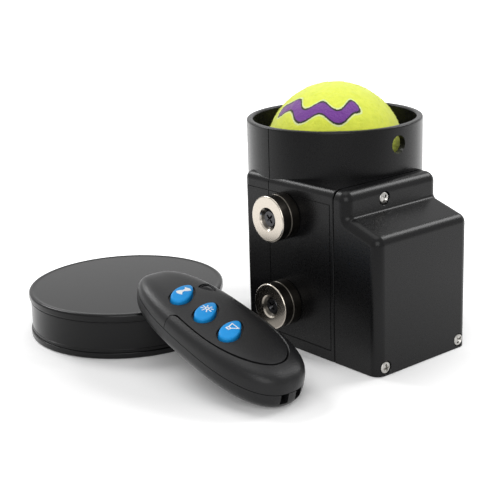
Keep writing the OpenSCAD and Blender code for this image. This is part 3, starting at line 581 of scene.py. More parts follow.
def plated_rings_painted_shade(name, colour):
    """Nickel, polished on a magnet's outer face; on its sides and in its countersink it is rougher and
    carries painted shade, a far darker colour.
    """
    s = Shader(name)
    x, _, _ = s.axes()
    low, high = ((MAGNET_FACE_X + depth) * MM for depth in MAGNET_SHADE_FADE)
    # Share of painted shade: nought on the outer face, one on the sides and in the countersink
    inside = s.span(x, 0.0, 1.0, low, high)
    lines = s.noise(DRAWN_SCALE, stretch=(0.15, 1.0, 1.0))
    bright = s.mix(lines, shade(colour, 0.94), shade(colour, 1.06))
    # Painted shade: the sides and countersink are coloured far darker than the plating
    painted_dark_side = s.mix(lines, shade(colour, 0.10), shade(colour, 0.22))
    s.give("Base Color", s.mix(inside, bright, painted_dark_side))
    s.give("Roughness", s.span(inside, 0.17, 0.3))
    s.give("Metallic", 1.0)
    s.bump(lines, strength=0.1, distance=DRAWN_DEPTH)
    return s


def hypot(s, a, b):
    """Root of the sum of two squares."""
    return s.math("SQRT", s.math("ADD", s.math("POWER", a, 2.0), s.math("POWER", b, 2.0)))


def stripe_offset(s, fuzz):
    """Degrees from the middle line of the wavy stripe, with a fuzzy edge."""
    x, y, z = s.axes()
    degrees = 180.0 / math.pi
    up = s.math("SUBTRACT", z, BALL_Z * MM)
    lat = s.math("MULTIPLY", s.math("ARCTAN2", up, hypot(s, x, y)), degrees)
    turn = s.math("ARCTAN2", y, x)
    wave = s.math("MULTIPLY", s.math("SINE", s.math("MULTIPLY", turn, STRIPE_WAVES)), STRIPE_SWING)
    off = s.math("ABSOLUTE", s.math("SUBTRACT", s.math("SUBTRACT", lat, STRIPE_LAT), wave))
    away = s.math("SUBTRACT", turn, STRIPE_MID)
    side = s.math("MULTIPLY", s.math("ARCCOSINE", s.math("COSINE", away)), degrees)
    past = s.math("MAXIMUM", s.math("SUBTRACT", side, STRIPE_REACH), 0.0)
    return s.math("ADD", hypot(s, off, past), s.span(fuzz, -STRIPE_FUZZ, STRIPE_FUZZ))


def felt_cloth(name, colour):
    """Ball felt: soft sheen, woolly colour changes and a plain wavy stripe."""
    s = Shader(name)
    fuzz = s.noise(FUZZ_SCALE, detail=4.0)
    wool = s.noise(WOOL_SCALE, detail=5.0)
    off = stripe_offset(s, fuzz)
    ground = s.mix(wool, shade(colour, 0.86), shade(colour, 1.1))
    pale = s.mix(s.math("LESS_THAN", off, STRIPE_PALE), ground, (0.82, 0.90, 0.42))
    line = s.mix(s.math("LESS_THAN", off, STRIPE_LINE), pale, (0.035, 0.03, 0.035))
    ink = s.mix(s.math("LESS_THAN", off, STRIPE_HALF), line, (0.21, 0.055, 0.36))
    s.give("Base Color", ink)
    s.give("Roughness", 0.9)
    s.give("Specular IOR Level", 0.15)
    s.give("Sheen Weight", 0.6)
    s.give("Sheen Roughness", 0.5)
    s.give("Sheen Tint", (0.95, 1.0, 0.6, 1.0))
    s.bump(fuzz, strength=0.6, distance=0.0004)
    return s


def printed_board(name, colour):
    """Board lacquer with faint tracks under it."""
    s = Shader(name)
    tracks = s.tree.nodes.new("ShaderNodeTexBrick")
    tracks.inputs["Scale"].default_value = TRACK_SCALE
    tracks.inputs["Color1"].default_value = (*colour, 1.0)
    tracks.inputs["Color2"].default_value = (*shade(colour, 1.25), 1.0)
    tracks.inputs["Mortar"].default_value = (*shade(colour, 1.9), 1.0)
    s.link(s.place, tracks.inputs["Vector"])
    s.give("Base Color", tracks.outputs["Color"])
    s.give("Roughness", s.span(s.noise(700.0), 0.3, 0.45))
    return s


def make_materials():
    """One material for each slot of the record."""
    made = (
        grained("black_plastic", (0.0045, 0.0045, 0.0048), 0.28, grain=2000.0, depth=0.00006, level=0.17),
        grained("remote_plastic", (0.009, 0.009, 0.0096), 0.36, grain=1700.0, depth=0.0003, level=0.23),
        grained("inner_plastic", (0.05, 0.05, 0.055), 0.5),
        grained("seal_rubber", (0.012, 0.012, 0.012), 0.75),
        # The nickel slot carries painted shade on the magnets' sides and countersinks
        plated_rings_painted_shade("nickel", (0.45, 0.41, 0.355)),
        brushed("screw_steel", (0.40, 0.39, 0.37), 0.28, (1.0, 0.2, 1.0)),
        brushed("shaft_steel", (0.62, 0.62, 0.63), 0.22, (0.05, 1.0, 1.0)),
        brushed("brass", (0.72, 0.53, 0.24), 0.28, (1.0, 0.2, 1.0)),
        grained("gear_plastic", (0.72, 0.71, 0.66), 0.42),
        brushed("gearbox_metal", (0.6, 0.54, 0.4), 0.35, (0.2, 1.0, 1.0)),
        brushed("motor_metal", (0.6, 0.61, 0.62), 0.3, (0.1, 1.0, 1.0)),
        printed_board("board", (0.02, 0.14, 0.06)),
        grained("capacitor_sleeve", (0.03, 0.04, 0.12), 0.35),
        grained("cell_can", (0.12, 0.13, 0.15), 0.35, metal=0.3),
        felt_cloth("felt", (0.86, 0.98, 0.10)),
        grained("core_rubber", (0.10, 0.09, 0.08), 0.7),
        grained("button_blue", (0.012, 0.30, 0.74), 0.45, grain=2200.0, spread=0.06, level=0.2),
        grained("lens", (0.004, 0.004, 0.005), 0.2, spread=0.3, depth=0.000004, level=0.06),
    )
    return {s.name: s.made for s in made}


MATERIALS = make_materials()
DARK_SCREW = brushed("dark_screw", (0.06, 0.06, 0.063), 0.3, (1.0, 0.2, 1.0)).made
LID_PLASTIC = grained("lid_plastic", (0.0045, 0.0045, 0.0048), 0.24, depth=0.000003, level=0.18).made
ICON_WHITE = grained("icon_white", (0.86, 0.87, 0.88), 0.5).made


# Drive cover

def box_top(y, d):
    """Height of the lower box's sloping top at y, set in by d."""
    return BOX_H + BOX_SLOPE * (y - STEP_Y) - d * math.hypot(1.0, BOX_SLOPE)


def cover_profile(d):
    """Side outline (y, z) of the cover, set in by d."""
    r = COVER_ROUND - d
    return rounded((
        (COVER_Y, 0.0, None),
        (BOX_Y + d, 0.0, None),
        (BOX_Y + d, box_top(BOX_Y + d, d), r),
        (STEP_Y + d, box_top(STEP_Y + d, d), CREASE_ROUND + d),
        (STEP_Y + d, BLOCK_TOP - d, r),
        (COVER_Y, BLOCK_TOP - d, COVER_EDGE),
    ), 10)


def cover_ring(x, inset):
    """Ring of the cover at x; the last one keeps a trace of its rounding."""
    nearly = 0.999
    return [(x, y, z) for y, z in cover_profile(COVER_ROUND * inset * nearly)]


def recess_tool(spot):
    """Tool for a screw's round recess with a broken edge."""
    r = SCREW_RECESS_R
    lip = SCREW_LIP
    out = 3.0
    profile = ((0.0, -out), (r + lip + out, -out), (r, lip), (r, SCREW_RECESS), (0.0, SCREW_RECESS))
    place = Matrix.Translation(spot) @ Matrix.Rotation(-math.pi / 2, 4, "X")
    return lathe("recess", profile, SCREW_STEPS, place)


def build_cover():
    """Stepped cover with rounded ends, a room inside and three screw recesses."""
    ends = rounding_steps(8)
    rings = [cover_ring(BLOCK_LEFT + COVER_ROUND * along, inset) for inset, along in ends]
    rings += [cover_ring(BLOCK_RIGHT - COVER_ROUND * along, inset) for inset, along in reversed(ends)]
    cover = stack("motor_cover_skin", rings)
    w = COVER_WALL
    front = BOX_Y + w
    back = COVER_Y + TOOL_PAST
    side = ((front, w), (back, w), (back, box_top(back, w)), (front, box_top(front, w)))
    cut(cover,
        stack("room", [[(x, y, z) for y, z in side] for x in (BLOCK_LEFT + w, BLOCK_RIGHT - w)]),
        box("loft", (BLOCK_LEFT + w, STEP_Y + w, w), (BLOCK_RIGHT - w, 0.0, BLOCK_TOP - w)))
    for spot in SCREW_SPOTS:
        cut(cover, recess_tool(spot))
    piece(smooth(cover), "housing", "black_plastic", "motor_cover")


def looking_in(place, top):
    """Frame on a head's top, turned over so that z runs into the head."""
    return place @ Matrix.Translation((0, 0, top)) @ Matrix.Rotation(math.pi, 4, "X")


def cross_tool(place, turn, length, width, depth):
    """Tapered cross that cuts a screw's drive."""
    arms = []
    for k in range(2):
        spin = place @ Matrix.Rotation(turn + k * math.pi / 2, 4, "Z")
        rings = []
        for z, f in ((CROSS_START, CROSS_WIDE), (depth, CROSS_NARROW)):
            a = length / 2 * f
            b = width / 2 * (CROSS_STRAIGHT + (1 - CROSS_STRAIGHT) * f)
            rings.append([spin @ Vector(p) for p in ((-a, -b, z), (a, -b, z), (a, b, z), (-a, b, z))])
        arms.append(stack("cross", rings))
    return join(*arms)


def screw_profile():
    """Outline of a cover screw's head with a domed edge."""
    r = SCREW_R
    rise = SCREW_HEAD - SCREW_DOME
    profile = [(0.0, SCREW_FOOT), (r - SCREW_BEVEL, SCREW_FOOT), (r, SCREW_FOOT + SCREW_BEVEL), (r, rise)]
    profile += [(r * math.cos(t), rise + SCREW_DOME * math.sin(t)) for t in quarter(8)[1:-1]]
    return profile + [(0.0, SCREW_HEAD)]


def build_cover_screws():
    """Three heads with cross drives at different turns."""
    heads = []
    for k, (x, y, z) in enumerate(SCREW_SPOTS):
        place = Matrix.Translation((x, y + SCREW_RECESS, z)) @ Matrix.Rotation(math.pi / 2, 4, "X")
        head = lathe("head", screw_profile(), SCREW_STEPS, place)
        turn = SCREW_TURN + SCREW_TURN_STEP * k
        heads.append(cut(head, cross_tool(looking_in(place, SCREW_HEAD), turn, *COVER_CROSS)))
    piece(smooth(gather("cover_screw_heads", heads)), "housing", "screw_steel", "cover_screws")


# Half shells

def block_plan(d):
    """Plan outline of the corner block, set in by d, round at its back corner."""
    return rounded((
        (BLOCK_LEFT + d, BLOCK_FRONT, BLOCK_EDGE),
        (BLOCK_RIGHT - d, BLOCK_FRONT, BLOCK_EDGE),
        (BLOCK_RIGHT - d, 0.0, BLOCK_EDGE),
        (0.0, BLOCK_BACK - d, BLOCK_EDGE),
        (BLOCK_LEFT + d, BLOCK_BACK - d, max(BLOCK_ROUND - d, BLOCK_EDGE)),
    ))


def block_solid():
    """Corner block with a rounded shoulder."""
    rings = [[(x, y, 0.0) for x, y in block_plan(0.0)]]
    for inset, along in rounding_steps(8)[::-1]:
        z = BLOCK_TOP - SHOULDER_ROUND * along
        rings.append([(x, y, z) for x, y in block_plan(SHOULDER_ROUND * inset)])
    return stack("block", rings)


def tube_solid():
    """Full cylinder of the tube with its rim rounded outside."""
    rim = RIM_ROUND
    profile = [(0.0, 0.0), (TUBE_R, 0.0), (TUBE_R, RIM_Z - rim)]
    profile += arc(TUBE_R - rim, RIM_Z - rim, rim, 0, 90, 6)[1:]
    return lathe("shell", profile + [(0.0, RIM_Z)], TUBE_STEPS)


def bore_tool():
    """Tool for the tube's bore, flared at the rim."""
    rim = RIM_ROUND
    past = TOOL_PAST
    profile = [(0.0, -past), (BORE_R, -past), (BORE_R, RIM_Z - rim)]
    profile += arc(BORE_R + rim, RIM_Z - rim, rim, 180, 90, 6)[1:]
    profile += [(BORE_R + rim, RIM_Z + past), (0.0, RIM_Z + past)]
    return lathe("bore", profile, TUBE_STEPS)


def pocket_tool():
    """Tool for the pocket that the drive reaches through."""
    half = POCKET_W / 2
    front, back = POCKET_Y
    return box("pocket", (-half, front, -TOOL_PAST), (half, back, POCKET_TOP))


def hole_tool():
    """Tool for the two hanging holes, right across the tube."""
    far = TUBE_R + 20.0
    profile = ((0.0, -far), (HOLE_R, -far), (HOLE_R, far), (0.0, far))
    place = Matrix.Translation((0, 0, HOLE_Z)) @ Matrix.Rotation(math.pi / 2, 4, "X")
    return lathe("hole", profile, ROUND_STEPS, place)


def build_shells():
    """Tube and block, hollowed and parted into a front and a rear half."""
    rear = join(tube_solid(), block_solid())
    cut(rear, bore_tool(), pocket_tool(), hole_tool())
    cut_side_lines(rear)
    front = twin(rear, "front_shell_skin")
    rear.name = "rear_shell_skin"
    far = 200.0
    cut(front, box("back", (-far, 0.0, -far), (far, far, far)))
    cut(rear, box("fore", (-far, -far, -far), (far, 0.0, far)))
    cut_parting_edge(front, -1.0)
    cut_parting_edge(rear, 1.0)
    piece(smooth(front), "housing", "black_plastic", "front_shell")
    piece(smooth(rear), "housing", "black_plastic", "rear_shell")


def cut_side_lines(shell):
    """Fine grooves that frame the flat side."""
    y0, y1 = SIDE_LINE_Y
    z0, z1 = SIDE_LINE_Z
    x0 = BLOCK_LEFT - TOOL_PAST
    x1 = BLOCK_LEFT + LINE_D
    w = LINE_W / 2
    cut(shell,
        box("low_line", (x0, y0 - w, z0 - w), (x1, y1 + w, z0 + w)),
        box("top_line", (x0, y0 - w, z1 - w), (x1, y1 + w, z1 + w)),
        box("fore_line", (x0, y0 - w, z0), (x1, y0 + w, z1)),
        box("back_line", (x0, y1 - w, z0), (x1, y1 + w, z1)))


def cut_parting_edge(half, side):
    """Breaks the outer edge where the two half shells meet."""
    slip = 0.01
    past = TOOL_PAST
    under = 1.5
    out = TUBE_R + 6.0
    low, high = sorted((0.0, side * LINE_W / 2))
    low -= slip
    high += slip
    deep = TUBE_R - LINE_D
    cut(half,
        box("left_edge", (-out, low, BLOCK_TOP - under), (-deep, high, RIM_Z + past)),
        box("right_edge", (deep, low, -past), (out, high, RIM_Z + past)),
        box("block_edge", (BLOCK_LEFT - past, low, -past), (BLOCK_LEFT + LINE_D, high, BLOCK_TOP + past)))


# Magnets

def magnet_ring(place, low, high, sunk):
    """One ring with rounded edges, with a countersink if a screw sits in it."""
    lip = MAGNET_LIP
    profile = arc(MAGNET_R - lip, low + lip, lip, -90, 0, 5)
    profile += arc(MAGNET_R - lip, high - lip, lip, 0, 90, 5)
    if sunk:
        out, down = MAGNET_CONE_LIP
        fall = MAGNET_CONE_R - MAGNET_HOLE_R
        profile += [(MAGNET_CONE_R + out, high), (MAGNET_CONE_R, high - down)]
        profile += [(MAGNET_HOLE_R, high - fall)]
    else:
        profile += [(MAGNET_HOLE_R, high)]
    return lathe("ring", profile + [(MAGNET_HOLE_R, low)], MAGNET_STEPS, place)


def magnet_head(place):
    """Countersunk screw head below the ring's face, with the start of its shank."""
    top = 2 * MAGNET_T - MAGNET_SINK
    r = MAGNET_CONE_R - MAGNET_SINK
    neck = top - (r - MAGNET_HOLE_R + HEAD_PLAY)
    shank = MAGNET_HOLE_R - SHANK_PLAY
    profile = [(0.0, neck - SHANK_L), (shank, neck - SHANK_L), (shank, neck)]
    profile += [(r - inset, top - down) for inset, down in HEAD_LIP]
    head = lathe("head", profile + [(0.0, top)], ROUND_STEPS, place)
    return cut(head, cross_tool(looking_in(place, top), math.pi / 4, *MAGNET_CROSS))


def build_magnets():
    """Two rings in each stack; the outer one is countersunk for its screw."""
    near = []
    far = []
    heads = []
    for z in MAGNET_Z:
        place = Matrix.Translation((BLOCK_LEFT, MAGNET_Y, z)) @ Matrix.Rotation(-math.pi / 2, 4, "Y")
        near.append(magnet_ring(place, MAGNET_GAP, MAGNET_T - MAGNET_GAP, False))
        far.append(magnet_ring(place, MAGNET_T + MAGNET_GAP, 2 * MAGNET_T, True))
        heads.append(magnet_head(place))
    # Both stacks take the nickel material, whose painted shade darkens the inner rings and the outer
    # rings' sides
    piece(smooth(gather("base_magnet_rings", near)), "housing", "nickel", "base_magnets")
    piece(smooth(gather("face_magnet_rings", far)), "housing", "nickel", "face_magnets")
    screws = smooth(gather("magnet_screw_heads", heads))
    piece(screws, "housing", "screw_steel", "magnet_screws")
    screws.data.materials[0] = DARK_SCREW


# Ball

def build_ball():
    """Felt ball with an uneven nap and short lying fibres, all inside the ball's radius."""
    bm = bmesh.new()
    bmesh.ops.create_icosphere(bm, subdivisions=7, radius=1.0)
    inner = BALL_R - NAP
    for v in bm.verts:
        way = v.co.normalized()
        lump = sum(noise.noise(way * scale) * LUMP for scale in LUMP_SCALES)
        tuft = noise.noise(way * TUFT_SCALE) * TUFT
        v.co = way * (inner + lump + tuft)
    draw = random.Random(FIBRE_SEED)
    for _ in range(FIBRES):
        add_fibre(bm, draw, inner)
    bmesh.ops.translate(bm, vec=(0, 0, BALL_Z), verts=bm.verts)
    ball = to_object("ball_nap", bm)
    ball.data.shade_smooth()
    piece(ball, "ball", "felt", "ball_felt")


def add_fibre(bm, draw, inner):
    """One tapering three-sided fibre that leans away from the surface."""
    way = Vector((draw.gauss(0, 1), draw.gauss(0, 1), draw.gauss(0, 1))).normalized()
    side = way.orthogonal().normalized()
    lean = Matrix.Rotation(draw.uniform(0, 2 * math.pi), 3, way) @ side
    across = way.cross(lean)
    long = draw.uniform(*FIBRE_LONG)
    thick = draw.uniform(*FIBRE_THICK)
    steep = FIBRE_FLAT + (1 - FIBRE_FLAT) * long / FIBRE_LONG[1]
    rows = []
    for f, rise in FIBRE_RISE:
        base = way * (inner + rise * steep) + lean * (long * f)
        size = thick * (1.0 - FIBRE_TAPER * f)
        spots = [base + (across * math.cos(t) + way * math.sin(t)) * size for t in FIBRE_CORNERS]
        rows.append([bm.verts.new(p) for p in spots])
    for low, high in zip(rows, rows[1:]):
        for i in range(3):
            j = (i + 1) % 3
            bm.faces.new((low[i], low[j], high[j], high[i]))
    bm.faces.new(rows[0][::-1])
    bm.faces.new(rows[-1])


# Lid

def lid_line(foot):
    """Piece of wall with a fine raised line."""
    wall = LID_WALL_R
    out = wall + LID_LINE_OUT
    low = foot + LID_LINE_UP
    high = low + LID_LINE_H
    slant = LID_LINE_SLANT
    return [(wall, foot), (wall, low), (out, low + slant), (out, high - slant), (wall, high)]


def lid_profile():
    """Outline (radius, height) of the lid, from its foot outwards and round."""
    under = LID_H - LID_TOP_T
    shelf = LID_H - LID_BEAD_H
    edge = LID_EDGE
    bead = LID_R - edge
    profile = [(LID_MOAT_R, 0.0)]
    profile += arc(bead, edge, edge, -90, 0, 4)
    profile += arc(bead, LID_FOOT - edge, edge, 0, 90, 4)
    profile += lid_line(LID_FOOT + LID_LINE_GAP)
    profile += lid_line(shelf - LID_LINE_DROP)
    profile += [(LID_WALL_R, shelf - LID_LINE_GAP)]
    profile += arc(bead, shelf + edge, edge, -90, 0, 4)
    profile += arc(LID_R - LID_ROUND, LID_H - LID_ROUND, LID_ROUND, 0, 90, 10)
    profile += [(LID_R - inset, LID_H - deep) for inset, deep in zip(LID_GROOVE, LID_GROOVE_D)]
    profile += [(LID_R / 2, LID_H - LID_SAG), (0.0, LID_H)]
    profile += [(0.0, under), (LID_BORE_R, under), (LID_BORE_R, LID_COLLAR_LIFT)]
    return profile + [(LID_COLLAR_R, LID_COLLAR_LIFT), (LID_COLLAR_R, under), (LID_MOAT_R, under)]


def build_lid():
    """Push-on cap: rounded top bead, wall set in, fine lines, a foot bead and an inner collar."""
    place = Matrix.Translation((*LID_AT, 0.0))
    lid = smooth(lathe("lid_skin", lid_profile(), LID_STEPS, place), 40.0)
    piece(lid, "lid", "black_plastic", "lid")
    lid.data.materials[0] = LID_PLASTIC


# Remote

def end_reach(y):
    """Distance from the widest station as a share of the way to the tip or the end."""
    if y < REMOTE_WIDEST:
        return (REMOTE_WIDEST - y) / REMOTE_WIDEST
    return (y - REMOTE_WIDEST) / (REMOTE_L - REMOTE_WIDEST)


def fall_off(reach, power):
    """Share of the full size left at some reach, along a superellipse."""
    return max(0.0, 1.0 - min(1.0, max(0.0, reach)) ** power) ** (1.0 / power)


def depth_at(y):
    return REMOTE_DEPTH[0] + (REMOTE_DEPTH[1] - REMOTE_DEPTH[0]) * y / REMOTE_L


def underside(y):
    return -depth_at(y) * (REMOTE_BELT + (1.0 - REMOTE_BELT) * fall_off(end_reach(y), END_POWER))


def lift(y, lean):
    """Height of the underside at y over the remote's own origin, when the remote leans."""
    return y * math.sin(lean) + underside(y) * math.cos(lean)


def tip_height(lean):
    """Height of the remote's own origin when its underside just meets the table."""
    steps = 200
    return -min(lift(REMOTE_L * k / steps, lean) for k in range(1, steps))


def leaning_place():
    """Where the remote lies: on the table at its nose and on the lid's edge near its upper end."""
    rest = REMOTE_L - REMOTE_LAP
    low, high = 0.0, math.pi / 4
    halvings = 40
    for _ in range(halvings):
        lean = (low + high) / 2
        clear = tip_height(lean) + lift(rest, lean) - LID_H > REST_GAP
        low, high = (low, lean) if clear else (lean, high)
    edge = LID_AT[1] - math.sqrt(LID_R ** 2 - REMOTE_SIDE ** 2)
    y = edge - rest * math.cos(lean) + underside(rest) * math.sin(lean)
    at = Vector((LID_AT[0] - REMOTE_SIDE, y, tip_height(lean)))
    return Matrix.Translation(at) @ Matrix.Rotation(lean, 4, "X")


REMOTE = leaning_place()
SEAM = REMOTE @ Matrix.Translation((0, 0, -SEAM_D)) @ Matrix.Rotation(SEAM_TILT, 4, "X")


def bulge(c, power):
    """Cosine or sine of a circle, turned into that of a superellipse."""
    return math.copysign(abs(c) ** (2.0 / power), c)


def body_point(y, a):
    """Point of the remote's outer skin at station y and angle a, in the remote's own frame."""
    reach = end_reach(y)
    above = math.sin(a) > 0
    power = TOP_POWER if above else LOW_POWER
    share = REMOTE_BELT if above else 1.0 - REMOTE_BELT
    x = REMOTE_HALF_W * fall_off(reach, PLAN_POWER) * bulge(math.cos(a), power)
    z = depth_at(y) * (share * fall_off(reach, END_POWER) * bulge(math.sin(a), power) - REMOTE_BELT)
    return Vector((x, y, z))


def top_height(x, y):
    """Height of the upper skin over a point of the plan."""
    reach = end_reach(y)
    half = REMOTE_HALF_W * fall_off(reach, PLAN_POWER)
    crown = fall_off(reach, END_POWER) * fall_off(abs(x) / half, TOP_POWER)
    return depth_at(y) * REMOTE_BELT * (crown - 1.0)


def remote_body(name, drop=0.0):
    """Full solid of the remote's outer skin, lowered by drop."""
    rows, cols = 80, 128
    start = 0.012
    place = REMOTE @ Matrix.Translation((0, 0, -drop))
    rings = []
    for k in range(rows):
        t = start + (math.pi - 2 * start) * k / (rows - 1)
        y = REMOTE_L * (1 - math.cos(t)) / 2
        rings.append([place @ body_point(y, 2 * math.pi * i / cols) for i in range(cols)])
    return stack(name, rings)


def panel_half(y, inset):
    """Half width of the upper panel at y, set in from its edge."""
    low, high = PANEL_NOSE + inset, REMOTE_L - PANEL_INSET - inset
    near = y < REMOTE_WIDEST
    way = REMOTE_WIDEST - low if near else high - REMOTE_WIDEST
    return (REMOTE_HALF_W - PANEL_INSET - inset) * fall_off(abs(y - REMOTE_WIDEST) / way, PANEL_POWER)


def bumper_plan(shift):
    """U-shaped plan of the bumper; a positive shift grows it."""
    end = BUMPER_END + shift
    low = PANEL_NOSE + shift
    corner = BUMPER_CORNER
    straight = end - corner
    ys = [straight - (straight - low) * math.sin(t) for t in quarter(48)]
    left = [(-panel_half(y, shift), y) for y in ys]
    right = [(-x, y) for x, y in reversed(left[:-1])]
    edge = left[0][0] - corner
    turns = quarter(8)[:0:-1]
    turn_left = [(edge + corner * math.cos(t), straight + corner * math.sin(t)) for t in turns]
    turn_right = [(-x, y) for x, y in reversed(turn_left)]
    wide = REMOTE_HALF_W + BUMPER_PAST[0]
    nose = -BUMPER_PAST[1]
    return [(wide, end), (wide, nose), (-wide, nose), (-wide, end)] + turn_left + left + right + turn_right


def bumper_block(shift):
    """Upright block over the bumper's plan whose inner edge is broken at the top."""
    low, high = BUMPER_CHAMFER
    far = REMOTE_FAR
    back = shift - (high - low)
    levels = ((-far, shift), (low, shift), (high, back), (far, back))
    return stack("u", [[REMOTE @ Vector((x, y, z)) for x, y in bumper_plan(d)] for z, d in levels])


def panel_room():
    """Plan of the room under the upper panel."""
    low, high = PANEL_NOSE + REMOTE_WALL, REMOTE_L - PANEL_INSET - REMOTE_WALL
    steps = 40
    ys = [low + (high - low) * (1 - math.cos(math.pi * k / steps)) / 2 for k in range(steps + 1)]
    right = [(panel_half(y, REMOTE_WALL), y) for y in ys]
    return right + [(-x, y) for x, y in reversed(right[1:-1])]


def egg(grow):
    """Plan outline of a button, blunt at its lower left and narrower at its upper right."""
    c = math.cos(BUTTON_TURN)
    s = math.sin(BUTTON_TURN)
    points = []
    for k in range(BUTTON_STEPS):
        a = 2 * math.pi * k / BUTTON_STEPS
        u = (BUTTON_HALF[0] + grow) * math.cos(a)
        v = (BUTTON_HALF[1] * (1 - BUTTON_TAPER * math.cos(a)) + grow) * math.sin(a)
        points.append((u * c - v * s, u * s + v * c))
    return points


def lens_plan(shrink):
    """Three-cornered outline with bowed sides."""
    side = LENS_CORNER * math.sqrt(3.0)
    points = []
    for k in range(3):
        turn = LENS_TURN + 120.0 * k
        cx = LENS_CORNER * math.cos(math.radians(turn))
        cy = LENS_CORNER * math.sin(math.radians(turn))
        points += arc(cx, cy, side, turn + 150.0, turn + 210.0, 12)[:-1]
    scale = 1.0 - shrink / LENS_CORNER
    return [(x * scale, y * scale) for x, y in points]


def on_panel(x, y):
    """Frame at a place of the panel."""
    return REMOTE @ Matrix.Translation((x, y, 0.0))


def cut_panel(body):
    """Room under the panel, recesses and holes for the buttons, and the lens's seat."""
    far = REMOTE_FAR
    room = prism("room", panel_room(), -far, far, REMOTE)
    cut(body, keep(room, remote_body("roof", REMOTE_WALL)))
    for y in BUTTON_Y:
        spot = on_panel(BUTTON_X, y)
        cut(body,
            prism("recess", egg(RECESS_GROW), -RECESS_D, far, spot),
            prism("hole", egg(HOLE_GROW), -HOLE_D, far, spot))
    cut(body, prism("lens", lens_plan(-LENS_RIM), -LENS_D - LENS_GAP, far, on_panel(*LENS_AT)))


def cut_bottom(bottom):
    """Hollow of the lower case and its two lanyard slots."""
    cut(bottom, prism("hollow", panel_room(), -SEAM_D - CASE_FLOOR, REMOTE_FAR, REMOTE))
    nose, over = SLOT_PAST
    half = SLOT_W / 2
    for x in SLOT_X:
        low = (x - half, -nose, -SEAM_D - SLOT_H)
        high = (x + half, SLOT_D, -SEAM_D + over)
        cut(bottom, box("slot", low, high, REMOTE))


def build_remote_case():
    """Upper case, bumper and lower case, parted by thin seams."""
    far = REMOTE_FAR
    gap = SEAM_GAP / 2
    body = remote_body("remote_top_skin")
    bumper = twin(body, "remote_bumper_skin")
    bottom = twin(body, "remote_bottom_skin")
    keep(bumper, bumper_block(-gap))
    cut(body, prism("u", bumper_plan(gap), -far, far, REMOTE))
    for upper in (bumper, body):
        cut(upper, box("under", (-far, -far, -far), (far, 2 * far, gap), SEAM))
    cut(bottom, box("above", (-far, -far, -gap), (far, 2 * far, far), SEAM))
    cut_panel(body)
    cut_bottom(bottom)
    piece(smooth(body), "remote", "remote_plastic", "remote_top_case")
    piece(smooth(bumper), "remote", "remote_plastic", "remote_bumper")
    piece(smooth(bottom), "remote", "remote_plastic", "remote_bottom_case")


def dome(x, y):
    """Height of a button's domed top."""
    return BUTTON_RISE - BUTTON_DOME_R + math.sqrt(BUTTON_DOME_R ** 2 - x * x - y * y)


def on_dome(plan, spot, level=0.0):
    """Ring over a plan that follows a button's dome at some level."""
    return [spot @ Vector((x, y, dome(x, y) + level)) for x, y in plan]


def button_rings(spot):
    """Flange, rounded edge and domed top of a button."""
    low, high = FLANGE_Z
    rings = []
    for grow, z in ((FLANGE, low), (FLANGE, high), (0.0, high)):
        rings.append([spot @ Vector((x, y, z)) for x, y in egg(grow)])
    for inset, along in rounding_steps(6)[::-1]:
        rings.append(on_dome(egg(-BUTTON_EDGE * inset), spot, -BUTTON_EDGE * along))
    for share in DOME_RINGS:
        rings.append(on_dome([(x * share, y * share) for x, y in egg(-BUTTON_EDGE)], spot))
    return rings


def build_buttons():
    """Three caps with a raised mark on each."""
    names = ("drop_button", "light_button", "sound_button")
    icons = (icon_drop, icon_sun, icon_speaker)
    for name, y, icon in zip(names, BUTTON_Y, icons):
        spot = on_panel(BUTTON_X, y)
        cap = stack(name + "_cap", button_rings(spot))
        piece(smooth(cap, 50.0), name, "button_blue", name)
        mark = join(*icon(spot))
        mark.name = name + "_icon"
        piece(smooth(mark), name, "button_blue")
        mark.data.materials[0] = ICON_WHITE


def decal(plan, spot):
    """Thin raised mark that follows a button's dome."""
    return stack("mark", [on_dome(plan, spot, level) for level in ICON_LEVELS])


def ring_decal(inner, outer, spot):
    """Ring-shaped raised mark."""
    low, high = ICON_LEVELS
    edges = zip(*(arc(0, 0, r, 0, 360, 24)[:-1] for r in (inner, outer, outer, inner)))
    rings = []
    for edge in edges:
        corners = zip(edge, (low, low, high, high))
        rings.append([spot @ Vector((x, y, dome(x, y) + level)) for (x, y), level in corners])
    return stack("mark", rings, loop=True)


def icon_drop(spot):
    """Two filled wings, point to point."""
    wing = ((0.0, 0.5), (1.2, 0.75), (2.4, 2.2), (3.6, 0.3), (3.1, -1.3), (1.4, -1.0), (0.0, -0.45))
    return [decal([(x * side, y * side) for x, y in wing], spot) for side in (-1, 1)]


def stroke(a, b):
    """Plan of a straight line of the marks' width."""
    along = (Vector(b) - Vector(a)).normalized() * ICON_LINE / 2
    across = Vector((-along.y, along.x))
    return [tuple(Vector(p) + d) for p, d in ((a, -along - across), (b, along - across),
                                              (b, along + across), (a, across - along))]


def icon_sun(spot):
    """Small ring with eight rays."""
    made = [ring_decal(*SUN_RING, spot)]
    near, far = SUN_RAY
    for k in range(8):
        a = math.pi / 4 * k
        way = Vector((math.cos(a), math.sin(a)))
        made.append(decal(stroke(way * near, way * far), spot))
    return made


def icon_speaker(spot):
    """Open horn with a small box at its narrow end."""
    horn = ((-0.9, -0.75), (2.0, -2.1), (2.0, 2.1), (-0.9, 0.75))
    seat = ((-0.9, -0.75), (-2.3, -0.75), (-2.3, 0.75), (-0.9, 0.75))
    lines = [*zip(horn, horn[1:]), *zip(seat, seat[1:]), (horn[0], horn[-1])]
    return [decal(stroke(a, b), spot) for a, b in lines]


